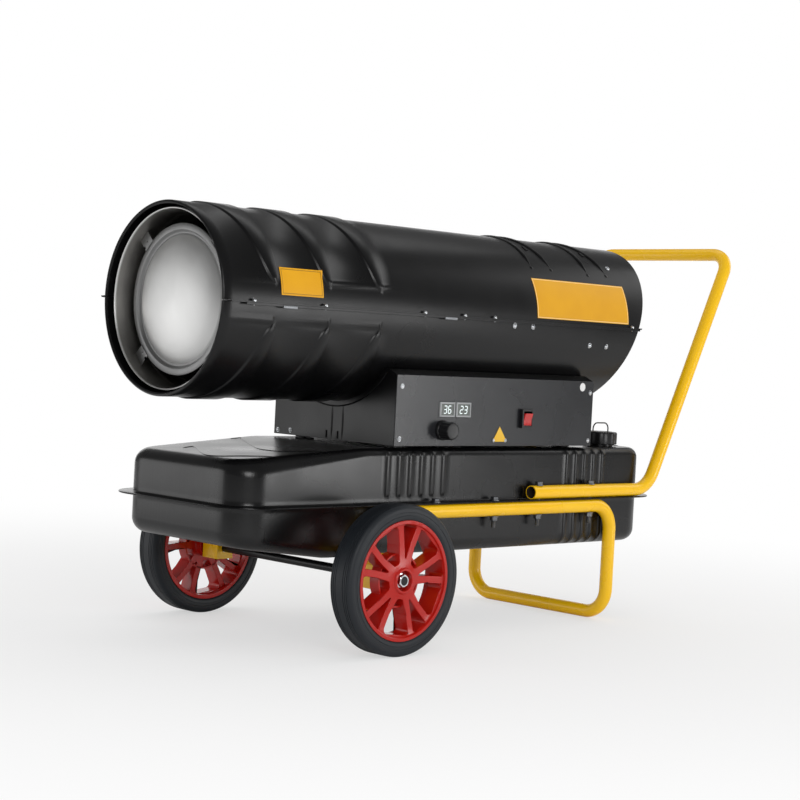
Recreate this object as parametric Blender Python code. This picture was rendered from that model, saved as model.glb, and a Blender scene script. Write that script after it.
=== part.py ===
"""Diesel air heater: a torpedo heater on a two-wheeled fuel tank.

Units are metres, +Z is up, +X runs from the warm air outlet to the push handle and -Y is
the control side. The origin is on the ground in the middle of the overall length.
Places along X are written from the wheel axle and moved to the origin by at().
"""
import bpy
import bmesh
from math import acos, asin, atan2, cos, pi, radians, sin, sqrt, tan
from mathutils import Matrix, Vector

for old in list(bpy.data.objects):
    bpy.data.objects.remove(old, do_unlink=True)

# Fits shared by all pieces
GAP = 0.0003
RUNNING_GAP = 0.0005
CUT_OVERRUN = 0.004
WELD_DISTANCE = 0.00001

# Wheels and axle
WHEEL_RADIUS = 0.125
TYRE_WIDTH = 0.049
RIM_RADIUS = 0.0994
AXLE_RADIUS = 0.0075
AXLE_Z = WHEEL_RADIUS

# Fuel tank: two pressed shells with a joint flange
TANK_SHEET = 0.0012
TANK_FRONT = -0.2573
TANK_LENGTH = 1.0369
TANK_HALF_WIDTH = 0.159
TANK_CORNER = 0.055
TANK_FLANGE = 0.0247
TANK_OVER_AXLE = 0.0155
TANK_LOWER_DEPTH = 0.0898
TANK_UPPER_DEPTH = 0.0942
RIB_HEIGHT = 0.0016
TANK_REAR = TANK_FRONT + TANK_LENGTH
TANK_BOTTOM = AXLE_Z + AXLE_RADIUS + TANK_OVER_AXLE
FLANGE_Z = TANK_BOTTOM + TANK_LOWER_DEPTH
TANK_TOP = FLANGE_Z + TANK_UPPER_DEPTH

# Steel tube of the handle and the stand
TUBE_RADIUS = 0.0125
TUBE_WALL = 0.0015
TUBE_TO_RIBS = 0.0004
TUBE_Y = TANK_HALF_WIDTH + RIB_HEIGHT + TUBE_TO_RIBS + TUBE_RADIUS
FLANGE_STACK = TANK_SHEET + GAP
HANDLE_Z = FLANGE_Z + FLANGE_STACK + TUBE_RADIUS
STAND_Z = FLANGE_Z - FLANGE_STACK - TUBE_RADIUS
HANDLE_RUN = 0.3425
HANDLE_LEAN = 0.233
HANDLE_RISE = 0.477
HANDLE_LOWER_RADIUS = 0.060
HANDLE_TOP_RADIUS = 0.042
HANDLE_TO_TANK_REAR = 0.0176
HANDLE_BEND_X = TANK_REAR - HANDLE_TO_TANK_REAR
HANDLE_START_X = HANDLE_BEND_X - HANDLE_RUN
HANDLE_TOP_X = HANDLE_BEND_X + HANDLE_LEAN
STAND_TO_TANK_REAR = 0.1276
STAND_REAR_X = TANK_REAR - STAND_TO_TANK_REAR
STAND_RADIUS = 0.048

# Drum: two casing shells round the combustion chamber
DRUM_RADIUS = 0.159
DRUM_PAST_TANK_FRONT = 0.0517
DRUM_BEFORE_TANK_REAR = 0.0516
DRUM_REAR_TILT = radians(19.8)
DRUM_OVER_TANK = 0.0735
CASING_SHEET = 0.0012
CASING_STEP = 10
SEAM_FLANGE = 0.008
DRUM_Z = TANK_TOP + DRUM_OVER_TANK + DRUM_RADIUS
DRUM_FRONT = TANK_FRONT - DRUM_PAST_TANK_FRONT
DRUM_REAR = TANK_REAR - DRUM_BEFORE_TANK_REAR

# Control housing between tank and drum
BOX_FRONT = 0.0773
BOX_TO_TANK_REAR = 0.1796
BOX_HEIGHT = 0.1224
BOX_SHEET = 0.0015
PANEL_SHEET = 0.0015
BOX_INSET = 0.002
BOX_STAND = 0.0043
BOX_REAR = TANK_REAR - BOX_TO_TANK_REAR
BOX_LENGTH = BOX_REAR - BOX_FRONT
BOX_Z = TANK_TOP + BOX_STAND
BOX_TOP = BOX_Z + BOX_HEIGHT
BOX_HALF_WIDTH = TANK_HALF_WIDTH - BOX_INSET

# The drum's lip is the foremost point and the handle's cross bar the rearmost
AXLE_X = -(DRUM_FRONT + HANDLE_TOP_X + TUBE_RADIUS) / 2


def at(x, y, z):
    """A point whose X is measured from the wheel axle."""
    return Vector((AXLE_X + x, y, z))


def paint(name, colour, roughness, metallic=0.0):
    """A Principled material."""
    material = bpy.data.materials.new(name)
    material.use_nodes = True
    shader = material.node_tree.nodes["Principled BSDF"]
    shader.inputs["Base Color"].default_value = (*colour, 1.0)
    shader.inputs["Roughness"].default_value = roughness
    shader.inputs["Metallic"].default_value = metallic
    return material


BLACK_PAINT = paint("satin_black_paint", (0.012, 0.012, 0.013), 0.38)
GREY_PAINT = paint("dark_grey_paint", (0.055, 0.057, 0.062), 0.5)
YELLOW_PAINT = paint("yellow_powder_coat", (0.93, 0.60, 0.01), 0.35)
STAINLESS = paint("stainless_sheet", (0.55, 0.55, 0.54), 0.42, 1.0)
ZINC = paint("zinc_plated_steel", (0.62, 0.63, 0.65), 0.3, 1.0)
CHROME = paint("chromed_steel", (0.8, 0.8, 0.82), 0.12, 1.0)
BRASS = paint("brass", (0.65, 0.48, 0.2), 0.3, 1.0)
ALLOY = paint("cast_aluminium", (0.5, 0.5, 0.5), 0.5, 1.0)
RED_PLASTIC = paint("red_wheel_plastic", (0.62, 0.02, 0.012), 0.4)
TYRE_RUBBER = paint("tyre_rubber", (0.018, 0.022, 0.028), 0.75)
BLACK_PLASTIC = paint("black_plastic", (0.01, 0.01, 0.011), 0.45)
SOFT_RUBBER = paint("black_rubber", (0.015, 0.015, 0.015), 0.8)
DISPLAY = paint("display_window", (0.5, 0.5, 0.5), 0.2)
RED_LENS = paint("red_rocker", (0.6, 0.01, 0.01), 0.25)
CERAMIC = paint("ceramic", (0.8, 0.78, 0.72), 0.4)
CIRCUIT = paint("circuit_board", (0.02, 0.16, 0.06), 0.5)
FUEL_LINE = paint("fuel_line", (0.05, 0.05, 0.05), 0.5)


def add_object(name, bm, material, smooth=35.0, origin=None, recalc=True):
    """Turn a bmesh, built in world places, into an object whose origin is at the given point."""
    if recalc:
        bmesh.ops.recalc_face_normals(bm, faces=bm.faces)
    mesh = bpy.data.meshes.new(name)
    if origin is not None:
        bmesh.ops.translate(bm, verts=bm.verts, vec=-origin)
    bm.to_mesh(mesh)
    bm.free()
    mesh.shade_smooth()
    mesh.set_sharp_from_angle(angle=radians(smooth))
    piece = bpy.data.objects.new(name, mesh)
    if origin is not None:
        piece.location = origin
    bpy.context.scene.collection.objects.link(piece)
    if material is not None:
        mesh.materials.append(material)
    return piece


def add_cutter(name, bm):
    """A tool solid for a Boolean, left out of the model."""
    cutter = add_object(name, bm, None)
    cutter.hide_render = True
    cutter.display_type = "WIRE"
    return cutter


def boolean(piece, cutter, operation="DIFFERENCE"):
    """Add an exact Boolean of the cutter to the piece."""
    modifier = piece.modifiers.new(cutter.name, "BOOLEAN")
    modifier.operation = operation
    modifier.object = cutter
    modifier.solver = "EXACT"


def block_mesh(low, high):
    """A box between two corners."""
    bm = bmesh.new()
    bmesh.ops.create_cube(bm, size=1.0)
    low, high = Vector(low), Vector(high)
    size = high - low
    bmesh.ops.scale(bm, vec=size, verts=bm.verts)
    bmesh.ops.translate(bm, vec=(low + high) / 2, verts=bm.verts)
    return bm


def rounded_block_mesh(low, high, radius, steps=2):
    """A box with all of its edges rounded."""
    bm = block_mesh(low, high)
    bmesh.ops.bevel(bm, geom=bm.edges[:], offset=radius, segments=steps, affect="EDGES")
    return bm


def axis_matrix(centre, axis):
    """A placement whose local Z points along the axis."""
    turn = Vector((0, 0, 1)).rotation_difference(Vector(axis)).to_matrix().to_4x4()
    return Matrix.Translation(centre) @ turn


def turned_mesh(profile, centre, axis, steps=32, closed=False, turn=0.0):
    """Spin a profile of (height, radius) points; open profiles start and end on the axis."""
    bm = bmesh.new()
    points = [bm.verts.new((radius, 0, height)) for height, radius in profile]
    pairs = list(zip(points, points[1:]))
    if closed:
        pairs.append((points[-1], points[0]))
    edges = [bm.edges.new(pair) for pair in pairs]
    bmesh.ops.spin(bm, geom=points + edges, cent=(0, 0, 0), axis=(0, 0, 1), angle=2 * pi,
                   steps=steps, use_merge=True, use_duplicate=False)
    bmesh.ops.remove_doubles(bm, verts=bm.verts, dist=WELD_DISTANCE)
    matrix = axis_matrix(centre, axis) @ Matrix.Rotation(turn, 4, "Z")
    bmesh.ops.transform(bm, matrix=matrix, verts=bm.verts)
    return bm


def rod_mesh(start, end, radius, steps=24, turn=0.0):
    """A round bar between two points."""
    start, end = Vector(start), Vector(end)
    length = (end - start).length
    profile = [(0, 0), (0, radius), (length, radius), (length, 0)]
    return turned_mesh(profile, start, end - start, steps, turn=turn)


def ring_mesh(start, end, inner, outer, steps=24):
    """A round sleeve between two points."""
    start, end = Vector(start), Vector(end)
    length = (end - start).length
    profile = [(0, inner), (0, outer), (length, outer), (length, inner)]
    return turned_mesh(profile, start, end - start, steps, closed=True)


def prism_mesh(outline, start, depth):
    """Extrude a closed outline of points by the depth vector."""
    bm = bmesh.new()
    face = bm.faces.new([bm.verts.new(Vector(start) + Vector(point)) for point in outline])
    grown = bmesh.ops.extrude_face_region(bm, geom=[face])
    moved = [item for item in grown["geom"] if isinstance(item, bmesh.types.BMVert)]
    bmesh.ops.translate(bm, vec=Vector(depth), verts=moved)
    return bm


def arc(centre, radius, first, last, steps):
    """Points of an arc in a plane, as (u, v) pairs; angles in radians."""
    turn = (last - first) / steps
    return [(centre[0] + radius * cos(first + turn * i), centre[1] + radius * sin(first + turn * i))
            for i in range(steps + 1)]


def filleted_path(corners, radii, steps=4):
    """A path through corners, each inner corner rounded to its radius."""
    path = [Vector(corners[0])]
    for before, corner, after, radius in zip(corners, corners[1:], corners[2:], radii):
        back = (Vector(before) - Vector(corner)).normalized()
        ahead = (Vector(after) - Vector(corner)).normalized()
        half = acos(max(-1.0, min(1.0, back.dot(ahead)))) / 2
        middle = Vector(corner) + (back + ahead).normalized() * radius / sin(half)
        first = Vector(corner) + back * radius / tan(half) - middle
        last = Vector(corner) + ahead * radius / tan(half) - middle
        sweep = first.angle(last)
        for i in range(steps + 1):
            share = i / steps
            spoke = (first * sin((1 - share) * sweep) + last * sin(share * sweep)) / sin(sweep)
            path.append(middle + spoke)
    path.append(Vector(corners[-1]))
    return path


def swept_mesh(path, radius, wall=None, steps=10):
    """A round bar along a path, or an open tube when a wall is given."""
    bm = bmesh.new()
    ways = [(after - before).normalized() for before, after in zip(path, path[1:])]
    tangents = [ways[0]] + [(a + b).normalized() for a, b in zip(ways, ways[1:])] + [ways[-1]]
    side = tangents[0].orthogonal().normalized()
    sizes = (radius,) if wall is None else (radius, radius - wall)
    stations = []
    for place, tangent, before in zip(path, tangents, tangents[:1] + tangents):
        side = before.rotation_difference(tangent) @ side
        other = tangent.cross(side)
        spokes = [side * u + other * v for u, v in arc((0, 0), 1, 0, 2 * pi, steps)[:-1]]
        stations.append([[bm.verts.new(place + spoke * size) for spoke in spokes] for size in sizes])
    for i in range(steps):
        j = (i + 1) % steps
        for station, next_station in zip(stations, stations[1:]):
            for loop, next_loop in zip(station, next_station):
                bm.faces.new((loop[i], loop[j], next_loop[j], next_loop[i]))
        if wall is not None:
            for outer, inner in (stations[0], stations[-1]):
                bm.faces.new((outer[i], outer[j], inner[j], inner[i]))
    if wall is None:
        bm.faces.new(stations[0][0])
        bm.faces.new(stations[-1][0])
    return bm


def clear_radius(radius, steps):
    """Corner radius of a many-sided bore whose flats clear a round of the given radius."""
    return radius / cos(pi / steps)


def face_outwards(bm, way):
    """Turn an open pressed skin's faces so that its highest, or lowest, face points out."""
    bmesh.ops.recalc_face_normals(bm, faces=bm.faces)
    bm.normal_update()
    cap = max(bm.faces, key=lambda face: way * face.calc_center_median().z)
    if cap.normal.z * way < 0:
        bmesh.ops.reverse_faces(bm, faces=bm.faces)


def thicken(piece, sheet):
    """Give a pressed skin its sheet thickness, inwards."""
    skin = piece.modifiers.new("sheet", "SOLIDIFY")
    skin.thickness = sheet
    skin.offset = -1.0
    skin.use_even_offset = True
    skin.use_quality_normals = True


# Fuel tank shells
TANK_SLOPE_START = 0.020
TANK_SLOPE_DROP = 0.020
FLOOR_SLOPE_START = -0.055
FLOOR_SLOPE_RISE = 0.025
SIDE_SHOULDER = 0.015
SIDE_SHOULDER_FRONT = 0.034
FRONT_SHOULDER = 0.022
REAR_SHOULDER = 0.030
BOTTOM_SHOULDER = 0.024
RIB_WIDTH = 0.011
RIB_TO_FLANGE = 0.009
FRONT_RIB_X = 0.0657
FRONT_RIB_PITCH = 0.027
FRONT_RIB_COUNT = 6
LAST_RIB_TO_REAR = 0.1406
REAR_RIB_PITCH = 0.026
REAR_RIB_COUNT = 5
CORNER_STEPS = 4
SHOULDER_TURNS = (0.0, pi / 4, pi / 2)
RIB_LIFT_SHARES = (1.0, 0.9, 0.0)
REAR_RIB_X = TANK_REAR - LAST_RIB_TO_REAR - REAR_RIB_PITCH * (REAR_RIB_COUNT - 1)
FRONT_RIBS = [FRONT_RIB_X + FRONT_RIB_PITCH * i for i in range(FRONT_RIB_COUNT)]
REAR_RIBS = [REAR_RIB_X + REAR_RIB_PITCH * i for i in range(REAR_RIB_COUNT)]


def slope_share(x, start=TANK_SLOPE_START):
    """How far along a slope that ends at the tank's front a place is, 0 to 1."""
    return max(0.0, min(1.0, (start - x) / (start - TANK_FRONT)))


def tank_level(x, is_top):
    """Height of the tank's top or bottom, which draw together towards its front end."""
    if is_top:
        return TANK_TOP - TANK_SLOPE_DROP * slope_share(x)
    return TANK_BOTTOM + FLOOR_SLOPE_RISE * slope_share(x, FLOOR_SLOPE_START)


def tank_outline(ribs, bends):
    """Near half of the tank's plan, front to rear: (x, y, normal x, normal y, rib lift)."""
    half, corner = TANK_HALF_WIDTH, TANK_CORNER
    outline = []
    for centre_x, start in ((TANK_FRONT + corner, -pi), (TANK_REAR - corner, -pi / 2)):
        for u, v in arc((0, 0), 1, start, start + pi / 2, CORNER_STEPS):
            outline.append((centre_x + corner * u, corner * (v + 1) - half, u, v, 0.0))
    side = [(x, 0.0) for x in bends]
    for rib in ribs:
        side += [(rib - RIB_WIDTH / 2, 0.0), (rib, 1.0), (rib + RIB_WIDTH / 2, 0.0)]
    middle = [(x, -half, 0.0, -1.0, lift) for x, lift in side]
    return outline[:CORNER_STEPS + 1] + middle + outline[CORNER_STEPS + 1:]


def shoulder_radius(x, nx, ny, is_top):
    """Radius of the rounded edge between the tank's wall and its top or bottom."""
    if not is_top:
        return BOTTOM_SHOULDER
    side = SIDE_SHOULDER + (SIDE_SHOULDER_FRONT - SIDE_SHOULDER) * slope_share(x)
    end = FRONT_SHOULDER if nx < 0 else REAR_SHOULDER
    return side * ny * ny + end * nx * nx


def tank_shell(name, is_top, ribs, bends=()):
    """One pressed half of the tank, from its flange to its top or bottom; bends lie ahead of the ribs."""
    way = 1 if is_top else -1
    root_z = FLANGE_Z + way * (TANK_SHEET + GAP / 2)
    bm = bmesh.new()
    rows = []

    def add_row(lift, place):
        near, far = [], []
        for x, y, nx, ny, rib in tank_outline(ribs, bends):
            out, z = place(x, nx, ny)
            out += rib * RIB_HEIGHT * lift
            near.append(bm.verts.new(at(x + nx * out, y + ny * out, z)))
            far.append(bm.verts.new(at(x + nx * out, -(y + ny * out), z)))
        rows.append((near, far))

    def shoulder_place(turn):
        def place(x, nx, ny):
            radius = shoulder_radius(x, nx, ny, is_top)
            inset = radius * (1 - cos(turn))
            level = tank_level(x - nx * inset, is_top)
            return -inset, level - way * radius * (1 - sin(turn))
        return place

    rib_start = root_z + way * RIB_TO_FLANGE
    rib_full = rib_start + way * RIB_WIDTH / 2
    add_row(0.0, lambda x, nx, ny: (TANK_FLANGE, root_z))
    add_row(0.0, lambda x, nx, ny: (0.0, root_z))
    add_row(0.0, lambda x, nx, ny: (0.0, rib_start))
    add_row(1.0, lambda x, nx, ny: (0.0, rib_full))
    for turn, lift in zip(SHOULDER_TURNS, RIB_LIFT_SHARES):
        add_row(lift, shoulder_place(turn))
    for (near, far), (next_near, next_far) in zip(rows, rows[1:]):
        for line, next_line in ((near, next_near), (far, next_far)):
            for i in range(len(line) - 1):
                bm.faces.new((line[i], line[i + 1], next_line[i + 1], next_line[i]))
        for i in (0, -1):
            bm.faces.new((near[i], far[i], next_far[i], next_near[i]))
    near, far = rows[-1]
    for i in range(len(near) - 1):
        bm.faces.new((near[i], near[i + 1], far[i + 1], far[i]))
    face_outwards(bm, way)
    piece = add_object(name, bm, BLACK_PAINT, recalc=False)
    thicken(piece, TANK_SHEET)
    return piece


tank_upper = tank_shell("fuel_tank_upper", True, FRONT_RIBS + REAR_RIBS)
tank_lower = tank_shell("fuel_tank_lower", False, REAR_RIBS, [FLOOR_SLOPE_START])

# Casing shells of the drum
BAND_SETBACK = 0.113
BAND_PITCH = 0.117
BAND_COUNT = 3
BAND_WIDTH = 0.059
BAND_POINT = 0.010
BAND_HEIGHT = 0.003
BAND_SLOPE = 0.004
BAND_END_DEGREES = 13
FLANGE_DEGREES = 6
LIP_DEPTH = 0.006
BAND_EDGE_X = DRUM_FRONT + BAND_SETBACK
BAND_END_ANGLE = radians(BAND_END_DEGREES)
CASING_DEGREES = [0, FLANGE_DEGREES, BAND_END_DEGREES, *range(2 * CASING_STEP, 90 + CASING_STEP, CASING_STEP)]
CASING_ANGLES = [radians(degrees) for degrees in CASING_DEGREES]


def band_columns(angle):
    """Places along the drum of the pressed bands' edges at an angle up from the seam."""
    columns = []
    share = sqrt(max(0.0, (angle - BAND_END_ANGLE) / (pi / 2 - BAND_END_ANGLE)))
    width = BAND_POINT + (BAND_WIDTH - BAND_POINT) * share
    lift = BAND_HEIGHT if angle > BAND_END_ANGLE - GAP else 0.0
    for i in range(BAND_COUNT):
        edge = BAND_EDGE_X + BAND_PITCH * i
        columns += [(edge - width, 0.0), (edge - width + BAND_SLOPE, lift),
                    (edge - BAND_SLOPE, lift), (edge, 0.0)]
    return columns


def rear_plane_x(z):
    """Where the drum's slanting rear edge is at a height."""
    return DRUM_REAR + (z - DRUM_Z) * tan(DRUM_REAR_TILT)


def casing_shell(name, is_top):
    """One half of the drum's casing with its seam flanges and front lip."""
    way = 1 if is_top else -1
    seam_z = DRUM_Z + way * (CASING_SHEET + GAP / 2)
    bm = bmesh.new()
    rows = []
    turns = CASING_ANGLES + [pi - a for a in CASING_ANGLES[-2::-1]]
    for turn in turns:
        rise = min(turn, pi - turn)
        columns = [(DRUM_FRONT, -LIP_DEPTH), (DRUM_FRONT, 0.0)] + band_columns(rise)
        row = []
        for x, lift in columns + [(None, 0.0)]:
            radius = DRUM_RADIUS + lift
            y, z = -radius * cos(turn), DRUM_Z + way * radius * sin(turn)
            z = way * max(way * z, way * seam_z)
            row.append(bm.verts.new(at(rear_plane_x(z) if x is None else x, y, z)))
        rows.append(row)
    strips = list(zip(rows, rows[1:]))
    for edge_row, side in ((rows[0], -1), (rows[-1], 1)):
        y = side * (DRUM_RADIUS + SEAM_FLANGE)
        flange = [bm.verts.new((vert.co.x, y, vert.co.z)) for vert in edge_row[1:]]
        strips.append((edge_row[1:], flange))
    for row, next_row in strips:
        for i in range(len(row) - 1):
            bm.faces.new((row[i], row[i + 1], next_row[i + 1], next_row[i]))
    face_outwards(bm, way)
    piece = add_object(name, bm, BLACK_PAINT, recalc=False)
    thicken(piece, CASING_SHEET)
    return piece


casing_upper = casing_shell("upper_casing", True)
casing_lower = casing_shell("lower_casing", False)

# Combustion chamber, its two spacer rings and the heat deflector
AIR_JACKET = 0.0115
CHAMBER_SHEET = 0.0015
CHAMBER_SETBACK = 0.012
CHAMBER_LENGTH_SHARE = 0.5786
CHAMBER_STEPS = 36
BURNER_RADIUS = 0.048
SPACER_WIDTH = 0.010
SPACER_BAND = 0.003
SPACER_LUGS = 4
SPACER_LUG_ANGLE = radians(16)
SPACER_FRONT = 0.055
SPACER_REAR = 0.055
DISC_SETBACK = 0.035
DISC_GAP = 0.023
DISC_RIM = 0.0155
DOME_HEIGHT = 0.016
DOME_RADIUS_SHARES = (0.35, 0.65, 0.88, 1.0)
DOME_HEIGHT_SHARES = (0.94, 0.72, 0.36, 0.0)
DISC_TAB_COUNT = 4
DISC_STEPS = 32
CHAMBER_RADIUS = DRUM_RADIUS - AIR_JACKET
DISC_RADIUS = CHAMBER_RADIUS - DISC_GAP
DOME_RADIUS = DISC_RADIUS - DISC_RIM
CHAMBER_LENGTH = (DRUM_REAR - DRUM_FRONT) * CHAMBER_LENGTH_SHARE
CHAMBER_FRONT = DRUM_FRONT + CHAMBER_SETBACK
CHAMBER_REAR = CHAMBER_FRONT + CHAMBER_LENGTH
CHAMBER_BORE = (CHAMBER_RADIUS - CHAMBER_SHEET) * cos(pi / CHAMBER_STEPS)
CASING_BORE = DRUM_RADIUS * cos(radians(CASING_STEP / 2)) - CASING_SHEET


def combustion_chamber():
    """A deep can, open at the outlet, with the burner's hole in its rear wall."""
    outer, wall = CHAMBER_RADIUS, CHAMBER_SHEET
    profile = [(0, outer - wall), (0, outer), (CHAMBER_LENGTH, outer), (CHAMBER_LENGTH, BURNER_RADIUS),
               (CHAMBER_LENGTH - wall, BURNER_RADIUS), (CHAMBER_LENGTH - wall, outer - wall)]
    bm = turned_mesh(profile, at(CHAMBER_FRONT, 0, DRUM_Z), (1, 0, 0), CHAMBER_STEPS, closed=True)
    return add_object("combustion_chamber", bm, STAINLESS)


def spacer_ring(name, x):
    """A band round the chamber whose lugs reach the casing."""
    inner = CHAMBER_RADIUS + GAP
    band = inner + SPACER_BAND
    reach = CASING_BORE - GAP
    outline = []
    for lug in range(SPACER_LUGS):
        middle = radians(45) + lug * 2 * pi / SPACER_LUGS
        half = SPACER_LUG_ANGLE / 2
        outline += arc((0, 0), reach, middle - half, middle + half, 3)
        outline += arc((0, 0), band, middle + 2 * half, middle + 2 * pi / SPACER_LUGS - 2 * half, 5)
    start = at(x, 0, DRUM_Z)
    bm = prism_mesh([(0, u, v) for u, v in outline], start, (SPACER_WIDTH, 0, 0))
    ring = add_object(name, bm, ZINC)
    bore = rod_mesh(start - Vector((CUT_OVERRUN, 0, 0)), start + Vector((SPACER_WIDTH + CUT_OVERRUN, 0, 0)),
                    clear_radius(inner, CHAMBER_STEPS), CHAMBER_STEPS)
    boolean(ring, add_cutter(name + "_bore", bore))
    return ring


def heat_deflector():
    """The dished disc in the outlet, held to the chamber wall by its tabs."""
    sheet = CHAMBER_SHEET
    plane_x = DRUM_FRONT + DISC_SETBACK
    steps = DISC_STEPS
    tab_reach = CHAMBER_BORE - GAP
    bm = bmesh.new()
    shares = zip(DOME_RADIUS_SHARES, DOME_HEIGHT_SHARES)
    rings = [(DOME_RADIUS * across, DOME_HEIGHT * up) for across, up in shares]
    rings.append((DISC_RADIUS, 0.0))
    centre = at(plane_x, 0, DRUM_Z)
    crown = bm.verts.new(centre - Vector((DOME_HEIGHT, 0, 0)))
    loops = []
    for radius, height in rings + [(tab_reach, 0.0)]:
        loop = []
        for i in range(steps):
            turn = 2 * pi * i / steps
            loop.append(bm.verts.new(centre + Vector((-height, radius * cos(turn), radius * sin(turn)))))
        loops.append(loop)
    for i in range(steps):
        j = (i + 1) % steps
        bm.faces.new((crown, loops[0][i], loops[0][j]))
        for inner, outer in zip(loops[:-1], loops[1:-1]):
            bm.faces.new((inner[i], outer[i], outer[j], inner[j]))
        if (i + steps // 8) % (steps // DISC_TAB_COUNT) in (0, 1):
            inner, outer = loops[-2], loops[-1]
            bm.faces.new((inner[i], outer[i], outer[j], inner[j]))
    bmesh.ops.delete(bm, geom=[v for v in bm.verts if not v.link_faces], context="VERTS")
    bmesh.ops.recalc_face_normals(bm, faces=bm.faces)
    bm.normal_update()
    bm.faces.ensure_lookup_table()
    if bm.faces[0].normal.x > 0:
        bmesh.ops.reverse_faces(bm, faces=bm.faces)
    piece = add_object("heat_deflector", bm, STAINLESS, recalc=False)
    thicken(piece, sheet)
    return piece


chamber = combustion_chamber()
spacer_ring("chamber_spacer_front", CHAMBER_FRONT + SPACER_FRONT)
spacer_ring("chamber_spacer_rear", CHAMBER_REAR - SPACER_REAR)
heat_deflector()

# Burner head with its nozzle, spark electrode and flame sensor
BURNER_DEPTH = 0.050
BURNER_WALL = 0.0025
BURNER_LIP = 0.008
NOZZLE_RADIUS = 0.011
NOZZLE_LENGTH = 0.034
PROBE_RADIUS = 0.004
PROBE_LENGTH = 0.046
PROBE_OFFSET = 0.026
HOLE_TURN = radians(7)
BURNER_BACK = CHAMBER_REAR + GAP


def burner_head():
    """A cup that closes the chamber's rear hole, bored for the nozzle and the probes."""
    outer = BURNER_RADIUS - RUNNING_GAP
    flange = BURNER_RADIUS + BURNER_LIP
    profile = [(0, 0), (0, flange), (-BURNER_WALL, flange), (-BURNER_WALL, outer),
               (-BURNER_WALL - BURNER_DEPTH, outer), (-BURNER_WALL - BURNER_DEPTH, outer - BURNER_WALL),
               (-BURNER_WALL, outer - BURNER_WALL), (-BURNER_WALL, 0)]
    start = at(BURNER_BACK + BURNER_WALL, 0, DRUM_Z)
    head = add_object("burner_head", turned_mesh(profile, start, (1, 0, 0), 24), ZINC)
    for name, y, z, radius in (("nozzle", 0, 0, NOZZLE_RADIUS), ("spark", PROBE_OFFSET, 0, PROBE_RADIUS),
                               ("flame", -PROBE_OFFSET, 0, PROBE_RADIUS)):
        place = at(BURNER_BACK, y, DRUM_Z + z)
        end = place + Vector((BURNER_WALL + CUT_OVERRUN, 0, 0))
        hole = rod_mesh(place - Vector((CUT_OVERRUN, 0, 0)), end, clear_radius(radius + GAP, 12), 12,
                        turn=HOLE_TURN)
        boolean(head, add_cutter(name + "_hole", hole))
    return head


def probe(name, y, radius, length, material):
    """A round insert through the burner head's rear wall, with a collar behind it."""
    collar = radius + BURNER_WALL
    front = BURNER_WALL + GAP - length
    tip = radius / 2
    profile = [(front, 0), (front, tip), (front + tip, radius), (BURNER_WALL + GAP, radius),
               (BURNER_WALL + GAP, collar), (BURNER_WALL * 3, collar), (BURNER_WALL * 3, 0)]
    return add_object(name, turned_mesh(profile, at(BURNER_BACK, y, DRUM_Z), (1, 0, 0), 12), material)


burner_head()
probe("fuel_nozzle", 0, NOZZLE_RADIUS, NOZZLE_LENGTH, BRASS)
probe("spark_electrode", PROBE_OFFSET, PROBE_RADIUS, PROBE_LENGTH, CERAMIC)
probe("flame_sensor", -PROBE_OFFSET, PROBE_RADIUS, PROBE_LENGTH, CERAMIC)

# Fan, motor and air pump on one shaft
SHAFT_RADIUS = 0.004
BURNER_TO_FAN = 0.102
FAN_TIP_PLAY = 0.019
FAN_HUB_RADIUS = 0.026
FAN_HUB_LENGTH = 0.030
FAN_BLADES = 4
FAN_BLADE_CHORD = 0.075
FAN_BLADE_SHEET = 0.002
FAN_BLADE_PITCH = radians(28)
MOTOR_TO_FAN = 0.018
MOTOR_RADIUS = 0.042
MOTOR_LENGTH = 0.095
MOTOR_COLLAR = 0.014
FAN_X = CHAMBER_REAR + BURNER_TO_FAN
FAN_RADIUS = DRUM_RADIUS - FAN_TIP_PLAY
MOTOR_X = FAN_X + FAN_HUB_LENGTH + MOTOR_TO_FAN
PUMP_RADIUS = 0.034
PUMP_WALL = 0.008
PUMP_DEPTH = 0.022
PUMP_COVER = 0.006
ROTOR_RADIUS = 0.019
ROTOR_LENGTH = 0.018
PUMP_X = MOTOR_X + MOTOR_LENGTH + GAP
COVER_X = PUMP_X + PUMP_WALL + PUMP_DEPTH + GAP
ROTOR_X = PUMP_X + PUMP_WALL + (PUMP_DEPTH - ROTOR_LENGTH) / 2
SHAFT_BORE = SHAFT_RADIUS + GAP
BRACKET_SHEET = 0.003
BRACKET_X = MOTOR_X + MOTOR_LENGTH / 2
BRACKET_HALF_WIDTH = 0.060
BRACKET_FOOT = 0.030
BRACKET_CROWN_START = radians(20)
BRACKET_WAIST_SHARE = 0.9
BLADE_ROOT_SHARE = 0.5
BLADE_SHOULDER_SHARE = 0.75
BLADE_TIP_SHARES = (0.7, 0.97)


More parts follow.
